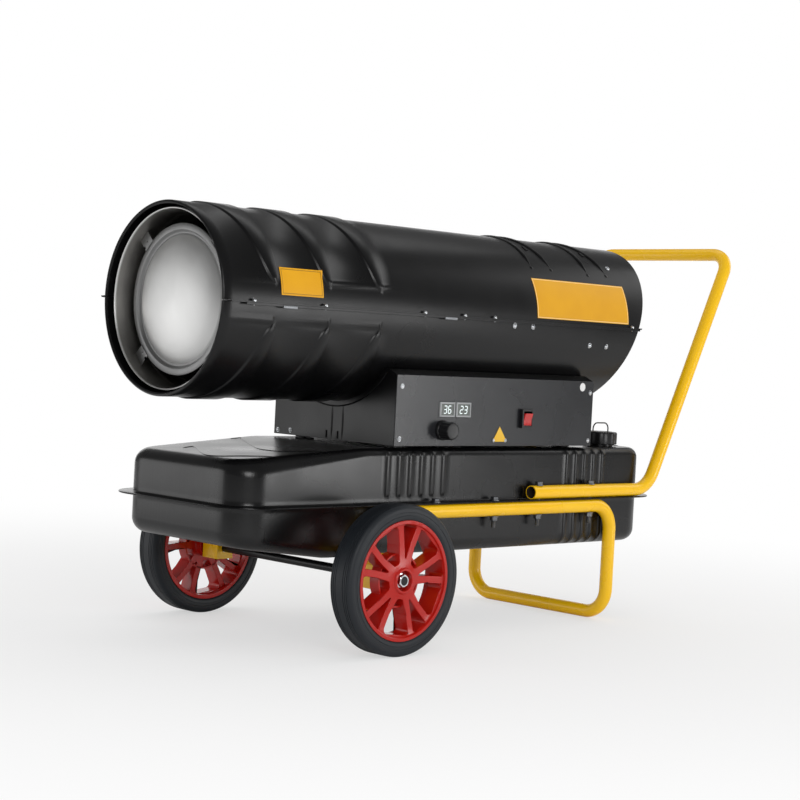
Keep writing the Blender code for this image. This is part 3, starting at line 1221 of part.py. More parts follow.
for word, side in (("near", -1), ("far", 1)):
    tyre("tyre_" + word, side)
    rim("rim_" + word, side)

# Filler: neck, strainer, gasket and cap with its wire bail
FILLER_TO_BOX = 0.100
FILLER_Y = -0.100
NECK_RADIUS = 0.025
NECK_WALL = 0.0015
NECK_FLANGE_RADIUS = 0.029
NECK_FLANGE = 0.002
NECK_RISE = 0.018
NECK_DROP = 0.030
STRAINER_WALL = 0.0008
STRAINER_LIP = 0.001
STRAINER_DEPTH = 0.065
STRAINER_SLOTS = 6
STRAINER_SLOT_TURN = radians(12)
STRAINER_FIRST_SLOT = radians(15)
STRAINER_CORE = 0.004
STRAINER_SOLID = 0.014
GASKET_SHEET = 0.002
GASKET_EDGE = 0.0015
GASKET_INNER = 0.021
CAP_RADIUS = 0.033
CAP_BASE = 0.004
CAP_HEIGHT = 0.024
CAP_EDGE = 0.0035
CAP_PLAY = 0.0015
CAP_LOBES = 8
CAP_LOBE_DEPTH = 0.0022
BAIL_RADIUS = 0.0013
BAIL_HALF_WIDTH = 0.023
BAIL_HEIGHT = 0.0165
BAIL_CORNER = 0.012
FILLER_X = BOX_REAR + FILLER_TO_BOX
FILLER_PLACE = at(FILLER_X, FILLER_Y, TANK_TOP)
STRAINER_SEAT = NECK_RISE + GAP
GASKET_SEAT = STRAINER_SEAT + STRAINER_LIP + GAP
CAP_ROOF = GASKET_SEAT + GASKET_SHEET + GAP
UP = (0, 0, 1)


def filler():
    """Neck through the tank's top, with the strainer basket that hangs in it."""
    inner = NECK_RADIUS - NECK_WALL
    top = GAP + NECK_FLANGE
    profile = [(-NECK_DROP, inner), (-NECK_DROP, NECK_RADIUS), (GAP, NECK_RADIUS), (GAP, NECK_FLANGE_RADIUS),
               (top, NECK_FLANGE_RADIUS), (top, NECK_RADIUS), (NECK_RISE, NECK_RADIUS), (NECK_RISE, inner)]
    add_object("filler_neck", turned_mesh(profile, FILLER_PLACE, UP, 20, closed=True), BLACK_PAINT)
    hole = rod_mesh(FILLER_PLACE - Vector((0, 0, CUT_OVERRUN)), FILLER_PLACE + Vector((0, 0, CUT_OVERRUN)),
                    clear_radius(NECK_RADIUS + GAP, 20), 20)
    boolean(tank_upper, add_cutter("filler_hole", hole))
    basket, rim_top = inner - RUNNING_GAP, STRAINER_SEAT + STRAINER_LIP
    bore = basket - STRAINER_WALL
    floor = NECK_RISE - STRAINER_DEPTH
    inside = floor + STRAINER_WALL
    profile = [(floor, 0), (floor, basket), (STRAINER_SEAT, basket), (STRAINER_SEAT, NECK_RADIUS),
               (rim_top, NECK_RADIUS), (rim_top, bore), (inside, bore), (inside, 0)]
    strainer = add_object("filler_strainer", turned_mesh(profile, FILLER_PLACE, UP, 20), ZINC)
    star = []
    for i in range(STRAINER_SLOTS):
        turn = STRAINER_FIRST_SLOT + 2 * pi * i / STRAINER_SLOTS
        tip = [turn - STRAINER_SLOT_TURN, turn + STRAINER_SLOT_TURN]
        star += [(NECK_RADIUS * cos(a), NECK_RADIUS * sin(a), 0) for a in tip]
        notch = turn + pi / STRAINER_SLOTS
        star.append((STRAINER_CORE * cos(notch), STRAINER_CORE * sin(notch), 0))
    low = FILLER_PLACE + Vector((0, 0, floor + STRAINER_SOLID))
    slots = prism_mesh(star, low, (0, 0, -NECK_DROP - floor - 2 * GAP - STRAINER_SOLID))
    boolean(strainer, add_cutter("strainer_slots", slots))


def filler_cap():
    """Gasket, lobed cap and the wire bail on it."""
    gasket_origin = FILLER_PLACE + Vector((0, 0, GASKET_SEAT))
    ring = ring_mesh(gasket_origin, gasket_origin + Vector((0, 0, GASKET_SHEET)), GASKET_INNER,
                     NECK_RADIUS + GASKET_EDGE, 20)
    add_object("cap_gasket", ring, SOFT_RUBBER, origin=gasket_origin)
    top, inner = CAP_BASE + CAP_HEIGHT, NECK_RADIUS + GASKET_EDGE + CAP_PLAY
    profile = [(CAP_ROOF, 0), (CAP_ROOF, inner), (CAP_BASE, inner), (CAP_BASE, CAP_RADIUS),
               (top - CAP_EDGE, CAP_RADIUS), (top, CAP_RADIUS - CAP_EDGE), (top, 0)]
    bm = turned_mesh(profile, FILLER_PLACE, UP, CAP_LOBES * 4)
    for vert in bm.verts:
        out = vert.co - FILLER_PLACE
        out.z = 0
        if out.length > inner + GAP:
            share = (1 - cos(CAP_LOBES * atan2(out.y, out.x))) / 2
            vert.co -= out.normalized() * CAP_LOBE_DEPTH * share
    add_object("filler_cap", bm, BLACK_PLASTIC, origin=FILLER_PLACE)
    foot = FILLER_PLACE + Vector((0, 0, top + GAP))
    side, rise = Vector((BAIL_HALF_WIDTH, 0, 0)), Vector((0, 0, BAIL_HEIGHT - BAIL_RADIUS))
    path = filleted_path([foot - side, foot - side + rise, foot + side + rise, foot + side],
                         [BAIL_CORNER, BAIL_CORNER])
    add_object("cap_bail", swept_mesh(path, BAIL_RADIUS, steps=8), BLACK_PAINT, origin=FILLER_PLACE)


filler()
filler_cap()

# Drain plug, fuel pick-up and the two hoses to the burner
DRAIN_TO_STAND = 0.092
PLUG_RADIUS = 0.010
PLUG_HEAD = 0.006
PLUG_THREAD = 0.006
PLUG_LENGTH = 0.008
PICKUP_RADIUS = 0.004
PICKUP_BORE = 0.0022
PICKUP_FLANGE_RADIUS = 0.012
PICKUP_FLANGE = 0.002
PICKUP_RISE = 0.020
PICKUP_FROM_FLOOR = 0.012
FUEL_HOSE_RADIUS = 0.003
AIR_HOSE_RADIUS = 0.004
HOSE_CORNER = 0.014
HOSE_PLAY = 0.0015
HOSE_HOLE_DEPTH = 0.030
AIR_HOSE_TO_CHAMBER = 0.069
AIR_HOSE_Y = 0.075
AIR_HOSE_OVER_CASING = 0.0275
AIR_HOSE_FIRST_DROP = 0.045
AIR_INLET_DROP = 0.026


def tank_fittings():
    """Drain plug in the tank's bottom and the suction pipe through its top."""
    place = at(STAND_REAR_X - DRAIN_TO_STAND, 0, TANK_BOTTOM)
    profile = [(-GAP - PLUG_HEAD, 0), (-GAP - PLUG_HEAD, PLUG_RADIUS), (-GAP, PLUG_RADIUS), (-GAP, PLUG_THREAD),
               (PLUG_LENGTH, PLUG_THREAD), (PLUG_LENGTH, 0)]
    add_object("drain_plug", turned_mesh(profile, place, UP, 12), ZINC)
    rise = Vector((0, 0, CUT_OVERRUN))
    hole = rod_mesh(place - rise, place + rise, clear_radius(PLUG_THREAD + GAP, 12), 12)
    boolean(tank_lower, add_cutter("drain_hole", hole))
    place = at(PICKUP_X, PICKUP_Y, TANK_TOP)
    low = TANK_BOTTOM + PICKUP_FROM_FLOOR - TANK_TOP
    top = GAP + PICKUP_FLANGE
    profile = [(low, PICKUP_BORE), (low, PICKUP_RADIUS), (GAP, PICKUP_RADIUS), (GAP, PICKUP_FLANGE_RADIUS),
               (top, PICKUP_FLANGE_RADIUS), (top, PICKUP_RADIUS), (PICKUP_RISE, PICKUP_RADIUS),
               (PICKUP_RISE, PICKUP_BORE)]
    add_object("fuel_pickup", turned_mesh(profile, place, UP, 12, closed=True), ZINC)
    above = Vector((0, 0, BOX_STAND + BOX_SHEET + CUT_OVERRUN))
    hole = add_cutter("pickup_hole", rod_mesh(place - rise, place + above,
                                              clear_radius(PICKUP_RADIUS + GAP, 12), 12))
    boolean(tank_upper, hole)
    boolean(housing, hole)


def hose(name, corners, radius):
    """A hose along corners, each bend rounded."""
    path = filleted_path([at(*corner) for corner in corners], [HOSE_CORNER] * (len(corners) - 2), steps=3)
    add_object(name, swept_mesh(path, radius, steps=8), FUEL_LINE)


def hoses():
    """Fuel from the pick-up through the casing's floor to the nozzle, and air from the pump to the burner."""
    fuel = [(PICKUP_X, PICKUP_Y, TANK_TOP + PICKUP_RISE + GAP), (PICKUP_X, PICKUP_Y, DRUM_Z),
            (PICKUP_X, 0, DRUM_Z), (BURNER_BACK + 3 * BURNER_WALL + GAP, 0, DRUM_Z)]
    hose("fuel_hose", fuel, FUEL_HOSE_RADIUS)
    pump_x = PUMP_X + (PUMP_WALL + PUMP_DEPTH) / 2
    rise_x = CHAMBER_REAR + AIR_HOSE_TO_CHAMBER
    under_pump = DRUM_Z - PUMP_RADIUS - GAP
    level, inlet = DRUM_Z - DRUM_RADIUS + AIR_HOSE_OVER_CASING, DRUM_Z - AIR_INLET_DROP
    air = [(pump_x, 0, under_pump), (pump_x, 0, under_pump - AIR_HOSE_FIRST_DROP), (pump_x, AIR_HOSE_Y, level),
           (rise_x, AIR_HOSE_Y, level), (rise_x, 0, inlet), (BURNER_BACK + BURNER_WALL + GAP, 0, inlet)]
    hose("air_hose", air, AIR_HOSE_RADIUS)
    low = DRUM_Z - DRUM_RADIUS - CUT_OVERRUN
    hole = rod_mesh(at(PICKUP_X, PICKUP_Y, low), at(PICKUP_X, PICKUP_Y, low + HOSE_HOLE_DEPTH),
                    FUEL_HOSE_RADIUS + HOSE_PLAY, 12)
    boolean(casing_lower, add_cutter("hose_hole", hole))


tank_fittings()
hoses()
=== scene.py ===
"""Diesel air heater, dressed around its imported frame: a drum with burner and fan on a wheeled fuel tank."""
import bpy
from math import atan2, cos, hypot, pi, radians, sin, sqrt, tan
from mathutils import Matrix, Vector


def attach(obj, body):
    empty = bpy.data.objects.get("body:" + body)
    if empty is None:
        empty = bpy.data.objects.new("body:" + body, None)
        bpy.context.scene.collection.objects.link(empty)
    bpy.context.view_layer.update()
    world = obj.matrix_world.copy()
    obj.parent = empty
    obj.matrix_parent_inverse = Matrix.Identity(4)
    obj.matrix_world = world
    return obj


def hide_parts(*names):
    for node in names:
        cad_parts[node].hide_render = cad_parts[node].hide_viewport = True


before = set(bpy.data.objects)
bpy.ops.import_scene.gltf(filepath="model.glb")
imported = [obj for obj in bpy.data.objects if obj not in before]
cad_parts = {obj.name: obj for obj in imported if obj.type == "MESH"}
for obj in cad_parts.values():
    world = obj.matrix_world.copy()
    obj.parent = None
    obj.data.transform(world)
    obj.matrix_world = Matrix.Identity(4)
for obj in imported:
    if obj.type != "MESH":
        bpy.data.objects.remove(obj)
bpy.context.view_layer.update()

# Camera: at the photograph's viewing angle, left of the control side and a little above the drum's
# middle. Places along X are written from the wheel axle, as a maker would, and moved by at().
AXLE_X = -0.34925
CAMERA_PLACE = (-2.0562, -2.3452, 0.5073)
CAMERA_TURN = radians(-44.414)
CAMERA_RISE = radians(1.723)
CAMERA_ROLL = radians(3.002)
CAMERA_LENS = 80.754
CAMERA_SENSOR = 36.0


def at(x, y, z):
    """A point whose X is measured from the wheel axle."""
    return Vector((AXLE_X + x, y, z))


def added(name, operator, **options):
    """What an operator adds with nothing selected, under its own name."""
    bpy.ops.object.select_all(action="DESELECT")
    operator(**options)
    piece = bpy.context.object
    piece.name = piece.data.name = name
    return piece


camera_back = Vector((sin(CAMERA_TURN) * cos(CAMERA_RISE), -cos(CAMERA_TURN) * cos(CAMERA_RISE),
                      sin(CAMERA_RISE)))
camera_right = Vector((0, 0, 1)).cross(camera_back).normalized()
level_view = Matrix((camera_right, camera_back.cross(camera_right), camera_back)).transposed()
camera = added("Camera", bpy.ops.object.camera_add)
camera.matrix_world = (Matrix.Translation(at(*CAMERA_PLACE)) @ level_view.to_4x4()
                       @ Matrix.Rotation(CAMERA_ROLL, 4, "Z"))
camera.data.lens = CAMERA_LENS
camera.data.sensor_width = CAMERA_SENSOR
bpy.context.scene.camera = camera
bpy.context.scene.view_settings.view_transform = "Standard"

# Studio: a pale painted floor that keeps the heater's shadow and runs out into a white surround. A long
# softbox hangs overhead, the key and the side one light the control side, two stand before the outlet
# and at the right, and a wide one behind draws the bright edges on drum and tank.
FLOOR_SIZE = 24.0
FLOOR_COLOUR = "#f2f2f2"
FLOOR_NEAR, FLOOR_FAR, FLOOR_GLOW = 0.7, 2.2, 0.55
SURROUND_LIGHT, SURROUND_MIRRORED = 0.6, 0.2
SOFTBOXES = (("overhead", (0.5, 0.7, 2.3), (2.4, 0.6), 5.0, (0.0, 0.0, 0.4)),
             ("key", (-1.5, -2.2, 1.15), (1.0, 0.9), 18.0, (-0.2, 0.0, 0.4)),
             ("front", (-2.3, 1.6, 0.45), (1.7, 1.0), 9.5, (-0.6, 0.0, 0.6)),
             ("side", (1.55, -2.6, 0.5), (0.8, 0.9), 15.0, (-0.25, 0.0, 0.3)),
             ("right", (3.0, -0.6, 1.7), (1.6, 2.0), 14.0, (0.1, 0.0, 0.4)),
             ("backdrop", (2.0, 2.6, 0.9), (4.2, 1.8), 26.0, (0.0, 0.0, 0.4)))


def linear(hex_colour):
    """An sRGB hex colour as linear light, for a colour socket."""
    shares = [int(hex_colour[i:i + 2], 16) / 255 for i in (1, 3, 5)]
    return (*(s / 12.92 if s <= 0.04045 else ((s + 0.055) / 1.055) ** 2.4 for s in shares), 1.0)


def set_inputs(tree, node, inputs):
    """Give a node's inputs their values, or link them where the value is another node's output."""
    for key, value in inputs.items():
        if isinstance(value, bpy.types.NodeSocket):
            tree.links.new(value, node.inputs[key])
        else:
            node.inputs[key].default_value = value


def add_node(tree, kind, inputs=None, **settings):
    """Add a node with its settings and its inputs."""
    node = tree.nodes.new("ShaderNode" + kind)
    for key, value in settings.items():
        setattr(node, key, value)
    set_inputs(tree, node, inputs or {})
    return node


def seen_as_white(tree):
    """1 for what the camera sees, also through a window, 0 for light that falls on the heater."""
    path = add_node(tree, "LightPath")
    return add_node(tree, "Math", {0: path.outputs["Is Camera Ray"], 1: path.outputs["Is Transmission Ray"]},
                    operation="MAXIMUM").outputs[0]


surround = bpy.data.worlds.new("white_surround")
bpy.context.scene.world = surround
surround.use_nodes = True
tree = surround.node_tree
path = add_node(tree, "LightPath")
level = add_node(tree, "Mix", {0: path.outputs["Is Glossy Ray"], 2: SURROUND_LIGHT, 3: SURROUND_MIRRORED})
strength = add_node(tree, "Mix", {0: seen_as_white(tree), 2: level.outputs[0], 3: 1.0})
set_inputs(tree, tree.nodes["Background"], {"Color": (1.0, 1.0, 1.0, 1.0), "Strength": strength.outputs[0]})

floor = added("studio_floor", bpy.ops.mesh.primitive_plane_add, size=FLOOR_SIZE)
floor_paint = bpy.data.materials.new("matt_floor_paint")
floor_paint.use_nodes = True
tree = floor_paint.node_tree
set_inputs(tree, tree.nodes["Principled BSDF"], {"Base Color": linear(FLOOR_COLOUR), "Roughness": 0.9,
                                                 "Specular IOR Level": 0.1})
place = add_node(tree, "TexCoord").outputs["Object"]
away = add_node(tree, "VectorMath", {0: place}, operation="LENGTH").outputs["Value"]
far = add_node(tree, "MapRange", {0: away, 1: FLOOR_NEAR, 2: FLOOR_FAR, 3: FLOOR_GLOW, 4: 1.0},
               interpolation_type="SMOOTHSTEP").outputs[0]
share = add_node(tree, "Math", {0: far, 1: seen_as_white(tree)}, operation="MULTIPLY").outputs[0]
glow = add_node(tree, "Emission", {"Color": (1.0, 1.0, 1.0, 1.0), "Strength": 1.0}).outputs[0]
blend = add_node(tree, "MixShader", {0: share, 1: tree.nodes["Principled BSDF"].outputs[0], 2: glow})
tree.links.new(blend.outputs[0], tree.nodes["Material Output"].inputs["Surface"])
floor.data.materials.append(floor_paint)

for name, place, size, power, aim in SOFTBOXES:
    lamp = added(name + "_softbox", bpy.ops.object.light_add, type="AREA", location=place)
    lamp.data.shape = "RECTANGLE"
    lamp.data.size, lamp.data.size_y = size
    lamp.data.energy = power
    lamp.visible_camera = False
    lamp.rotation_euler = (Vector(aim) - Vector(place)).to_track_quat("-Z", "Y").to_euler()

# Fuel tank: two halves deep-drawn from 1.2 mm steel sheet, with rounded shoulders and pressed ribs,
# welded together along a flat flange all round and powder coated in satin black.
TANK_FRONT, TANK_REAR = -0.2573, 0.7796
TANK_HALF_WIDTH = 0.159
TANK_CORNER = 0.055
TANK_FLANGE = 0.0247
TANK_BOTTOM, FLANGE_Z, TANK_TOP = 0.148, 0.2378, 0.332
TANK_SHEET = 0.0012
TANK_SLOPE_START, TANK_SLOPE_DROP = 0.02, 0.02
FLOOR_SLOPE_START, FLOOR_SLOPE_RISE = -0.055, 0.025
SIDE_SHOULDER, SIDE_SHOULDER_FRONT = 0.015, 0.034
FRONT_SHOULDER, REAR_SHOULDER, BOTTOM_SHOULDER = 0.022, 0.03, 0.024
RIB_HEIGHT = 0.0016
RIB_TO_FLANGE = 0.009
FRONT_RIBS = [0.0657 + 0.027 * i for i in range(6)]
REAR_RIBS = [0.535 + 0.026 * i for i in range(5)]
RIB_PROFILE = (
    (-6.0, 0.0), (-5.0, 0.25), (-4.2, 0.75), (-3.2, 1.0), (0.0, 1.0), (3.2, 1.0), (4.2, 0.75), (5.0, 0.25),
    (6.0, 0.0))
RIB_RUN_OUT = ((0.0, 0.0), (0.0025, 0.35), (0.0045, 0.8), (0.0065, 1.0))
RIB_ROOM, STATION_STEP = 0.008, 0.012
FLANGE_FILLET = 0.003
SHOULDER_STEPS, CORNER_STEPS, TOP_STEPS, FILLET_STEPS = 10, 14, 24, 6
FILLER_X, FILLER_Y = 0.7, -0.1
FILLER_HOLE = 0.0253
BEAD_RADIUS, BEAD_SUNK = 0.0021, 0.001
RUN_OUT_START, RUN_OUT_STEP = 0.35, 0.2
TANK_BEADS = (
    ("front", ((-0.2001, 0.069), (-0.1728, 0.0751), (-0.1817, 0.0527), (-0.2371, -0.0509), (-0.2009, -0.1001),
               (-0.17, -0.138))),
    ("rear", ((-0.0483, 0.1312), (-0.0215, 0.1322), (-0.039, 0.103), (-0.109, -0.0185), (-0.118, -0.0676),
              (-0.1076, -0.0929), (-0.056, -0.133))))


def begin_material(name, **sockets):
    """A Principled material with its plain values on the shader's own sockets."""
    material = bpy.data.materials.new(name)
    material.use_nodes = True
    tree = material.node_tree
    shader = tree.nodes["Principled BSDF"]
    set_inputs(tree, shader, {key.replace("_", " "): value for key, value in sockets.items()})
    return material, tree, shader, add_node(tree, "TexCoord").outputs["Object"]


def grained(name, colours, roughness, grain, height, drift=9.0, stretch=(1, 1, 1), **sockets):
    """A finish whose colour and roughness drift in soft clouds over a finer surface grain: drift and grain
    are in cycles per metre, height is the grain's depth in metres."""
    material, tree, shader, place = begin_material(name, **sockets)
    clouds = add_node(tree, "TexNoise", {"Vector": place, "Scale": drift, "Detail": 3.0}).outputs[0]
    colour = add_node(tree, "Mix", {0: clouds, 6: linear(colours[0]), 7: linear(colours[1])}, data_type="RGBA")
    scaled = add_node(tree, "Mapping", {"Vector": place, "Scale": [grain * share for share in stretch]})
    fine = add_node(tree, "TexNoise", {"Vector": scaled.outputs[0], "Scale": 1.0, "Detail": 2.0}).outputs[0]
    spread = add_node(tree, "MapRange", {0: clouds, 1: 0.3, 2: 0.7, 3: roughness[0], 4: roughness[1]})
    bump = add_node(tree, "Bump", {"Height": fine, "Distance": height})
    set_inputs(tree, shader, {"Base Color": colour.outputs[2], "Roughness": spread.outputs[0],
                              "Normal": bump.outputs[0]})
    return material


# Powder coat on steel, baked: a fine orange peel of about 1.6 mm softens every reflection; on the tank
# the deep drawing also left faint upright marks 3 mm apart, which show through the coat.
black_coat = grained("black_powder_coat", ("#070708", "#0d0d0e"), (0.27, 0.35), 620, 0.00005,
                     IOR=1.5, Specular_IOR_Level=0.32)
drawn_coat = grained("powder_coat_on_drawn_steel", ("#070708", "#0d0d0e"), (0.24, 0.32), 330, 0.00012,
                     stretch=(1, 1, 0.02), IOR=1.5, Specular_IOR_Level=0.42)


def pick(piece):
    """Make a piece the only one selected."""
    bpy.ops.object.select_all(action="DESELECT")
    piece.select_set(True)
    bpy.context.view_layer.objects.active = piece


def sheet_grid(name, rows):
    """A plane grid whose rows and columns are laid on the given rows of points."""
    piece = added(name, bpy.ops.mesh.primitive_grid_add, x_subdivisions=len(rows[0]) - 1,
                  y_subdivisions=len(rows) - 1)
    piece.data.vertices.foreach_set("co", [value for row in rows for point in row for value in point])
    return piece


def edit(piece, *steps):
    """Run edit-mode operators on the whole of a piece."""
    pick(piece)
    bpy.ops.object.mode_set(mode="EDIT")
    for step in steps:
        bpy.ops.mesh.select_all(action="SELECT")
        step()
    bpy.ops.object.mode_set(mode="OBJECT")


def join(pieces):
    """Join pieces into the first one."""
    pick(pieces[0])
    for piece in pieces:
        piece.select_set(True)
    if len(pieces) > 1:
        bpy.ops.object.join()
    return pieces[0]


def weld():
    bpy.ops.mesh.remove_doubles(threshold=0.00002)


def face_out():
    bpy.ops.mesh.normals_make_consistent(inside=False)


def look_along(piece, axis, way):
    """Turn a piece's faces round where its furthest one along an axis looks back."""
    furthest = max(piece.data.polygons, key=lambda face: face.center[axis] * way)
    if furthest.normal[axis] * way < 0:
        edit(piece, bpy.ops.mesh.flip_normals)


def modify(piece, kind, **settings):
    """Add a modifier with its settings and apply it."""
    pick(piece)
    modifier = piece.modifiers.new(kind.lower(), kind)
    for key, value in settings.items():
        setattr(modifier, key, value)
    bpy.ops.object.modifier_apply(modifier=modifier.name)


def cut(piece, *cutters):
    """Cut solids out of a piece."""
    for cutter in cutters:
        modify(piece, "BOOLEAN", object=cutter, operation="DIFFERENCE", solver="EXACT")
        bpy.data.objects.remove(cutter)


def keep_place(piece):
    """Put a piece's place, turn and scale into its mesh."""
    pick(piece)
    bpy.ops.object.transform_apply(location=True, rotation=True, scale=True)


def settle(piece, material, body="chassis", stands_for=(), smooth=35.0, is_bevelled=False):
    """Put a finished piece's place into its mesh, give it its material and hang it on its body."""
    keep_place(piece)
    bpy.ops.object.shade_smooth_by_angle(angle=radians(smooth))
    if is_bevelled:
        modify(piece, "WEIGHTED_NORMAL", keep_sharp=True)
    piece.data.materials.clear()
    piece.data.materials.append(material)
    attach(piece, body)
    if stands_for:
        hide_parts(*stands_for)
    return piece


def slope_share(x, start=TANK_SLOPE_START):
    """How far along a slope that ends at the tank's front a place is, 0 to 1."""
    return max(0.0, min(1.0, (start - x) / (start - TANK_FRONT)))


def tank_level(x, is_top=True):
    """Height of the tank's top or bottom, which draw together towards its front end."""
    if is_top:
        return TANK_TOP - TANK_SLOPE_DROP * slope_share(x)
    return TANK_BOTTOM + FLOOR_SLOPE_RISE * slope_share(x, FLOOR_SLOPE_START)


def shoulder_radius(x, nx, ny, is_top):
    """The drawn shell's shoulder is wide and soft at the front corner and tighter along the side."""
    if not is_top:
        return BOTTOM_SHOULDER
    side = SIDE_SHOULDER + (SIDE_SHOULDER_FRONT - SIDE_SHOULDER) * slope_share(x)
    return side * ny * ny + (FRONT_SHOULDER if nx < 0 else REAR_SHOULDER) * nx * nx


def tank_stations(ribs):
    """Near half of the tank's plan from front to rear: x, y, outward normal and rib lift."""
    corners = []
    for centre_x, start in ((TANK_FRONT + TANK_CORNER, -pi), (TANK_REAR - TANK_CORNER, -pi / 2)):
        for i in range(CORNER_STEPS + 1):
            u, v = cos(start + pi / 2 * i / CORNER_STEPS), sin(start + pi / 2 * i / CORNER_STEPS)
            corners.append((centre_x + TANK_CORNER * u, TANK_CORNER * (v + 1) - TANK_HALF_WIDTH, u, v, 0.0))
    side = {round(rib + u / 1000, 5): lift for rib in ribs for u, lift in RIB_PROFILE}
    plain = [TANK_FRONT + TANK_CORNER + STATION_STEP * i for i in range(1, 78)]
    side.update({x: 0.0 for x in plain
                 if x < TANK_REAR - TANK_CORNER and all(abs(x - rib) > RIB_ROOM for rib in ribs)})
    middle = [(x, -TANK_HALF_WIDTH, 0.0, -1.0, side[x]) for x in sorted(side)]
    return corners[:CORNER_STEPS + 1] + middle + corners[CORNER_STEPS + 1:]


def tank_rows(is_top):
    """Section of the shell from its flange to its top: (rib lift, place) where place gives out and height."""
    way = 1 if is_top else -1
    sheet_z = FLANGE_Z + way * TANK_SHEET
    lip, fillet = TANK_SHEET / 2, FLANGE_FILLET

    def flat(out, z):
        return lambda x, nx, ny: (out, z)

    def shoulder(turn):
        def place(x, nx, ny):
            radius = shoulder_radius(x, nx, ny, is_top)
            inset = radius * (1 - cos(turn))
            level = tank_level(x - nx * inset, is_top)
            return -inset, level - way * radius * (1 - sin(turn))
        return place

    rows = [(0.0, flat(TANK_FLANGE - lip, FLANGE_Z)), (0.0, flat(TANK_FLANGE, FLANGE_Z + way * lip / 2)),
            (0.0, flat(TANK_FLANGE - lip / 4, sheet_z - way * lip / 2)), (0.0, flat(TANK_FLANGE - lip, sheet_z)),
            (0.0, flat(fillet * 2, sheet_z))]
    for i in range(1, FILLET_STEPS):
        turn = pi / 2 * i / FILLET_STEPS
        rows.append((0.0, flat(fillet * (1 - sin(turn)), sheet_z + way * fillet * (1 - cos(turn)))))
    rib_start = sheet_z + way * RIB_TO_FLANGE
    for step, lift in RIB_RUN_OUT:
        rows.append((lift, flat(0.0, rib_start + way * step)))
    for i in range(SHOULDER_STEPS + 1):
        share = i / SHOULDER_STEPS
        rows.append((min(1.0, 2.2 * (1 - share)), shoulder(pi / 2 * share)))
    return rows


def tank_shell(name, is_top, ribs):
    """Wall rows all round, closed by straight lines across the top, then given the sheet's thickness."""
    way = 1 if is_top else -1
    stations = tank_stations(ribs)
    rows = []
    for lift, place in tank_rows(is_top):
        near, far = [], []
        for x, y, nx, ny, rib in stations:
            out, z = place(x, nx, ny)
            out += rib * RIB_HEIGHT * lift
            near.append(at(x + nx * out, y + ny * out, z))
            far.append(Vector((near[-1].x, -near[-1].y, z)))
        ends = [[first.lerp(last, i / TOP_STEPS) for i in range(1, TOP_STEPS)]
                for first, last in ((near[-1], far[-1]), (far[0], near[0]))]
        rows.append(near + ends[0] + far[::-1] + ends[1] + [near[0]])
    walls = sheet_grid(name, rows)
    top = sheet_grid("top", [[n.lerp(f, i / TOP_STEPS) for i in range(TOP_STEPS + 1)] for n, f in zip(near, far)])
    shell = join([walls, top])
    edit(shell, weld, face_out)
    look_along(shell, 2, way)
    modify(shell, "SOLIDIFY", thickness=TANK_SHEET, offset=-1.0)
    return shell


settle(tank_shell("tank_lower_shell", False, REAR_RIBS), drawn_coat, stands_for=("fuel_tank_lower",))
tank_upper = tank_shell("tank_upper_shell", True, FRONT_RIBS + REAR_RIBS)
cut(tank_upper, added("filler_hole", bpy.ops.mesh.primitive_cylinder_add, vertices=96, radius=FILLER_HOLE,
                      depth=0.02, location=at(FILLER_X, FILLER_Y, TANK_TOP)))
settle(tank_upper, drawn_coat, stands_for=("fuel_tank_upper",))


def smooth_path(points, steps=8):
    """A soft curve through points, as a Catmull-Rom line."""
    points = [Vector(point) for point in points]
    line = []
    for p0, p1, p2, p3 in zip(points[:1] + points, points, points[1:], points[2:] + points[-1:]):
        for i in range(steps):
            t = i / steps
            line.append(0.5 * (2 * p1 + (p2 - p0) * t + (2 * p0 - 5 * p1 + 4 * p2 - p3) * t * t
                               + (3 * p1 - p0 - 3 * p2 + p3) * t ** 3))
    return line + points[-1:]


def round_bar(name, path, radius, taper=False, sides=4, wall=None):
    """A round bar bent along a path, its ends narrowed where a pressed bead runs out; a tube with a wall."""
    piece = added(name, bpy.ops.curve.primitive_nurbs_path_add)
    curve = piece.data
    curve.splines.clear()
    curve.bevel_depth = radius
    curve.bevel_resolution = sides
    curve.use_fill_caps = wall is None
    spline = curve.splines.new("POLY")
    spline.points.add(len(path) - 1)
    for i, (point, spot) in enumerate(zip(spline.points, path)):
        point.co = (*spot, 1.0)
        from_end = min(i, len(path) - 1 - i)
        point.radius = min(1.0, RUN_OUT_START + RUN_OUT_STEP * from_end) if taper else 1.0
    bpy.ops.object.convert(target="MESH")
    piece = bpy.context.object
    piece.data.name = name
    edit(piece, weld, face_out)
    if wall is not None:
        modify(piece, "SOLIDIFY", thickness=wall, offset=-1.0)
    return piece


for word, points in TANK_BEADS:
    line = smooth_path([(x, y, 0.0) for x, y in points])
    path = [at(p.x, p.y, tank_level(p.x) - BEAD_SUNK) for p in line]
    settle(round_bar("tank_top_bead_" + word, path, BEAD_RADIUS, taper=True), drawn_coat)

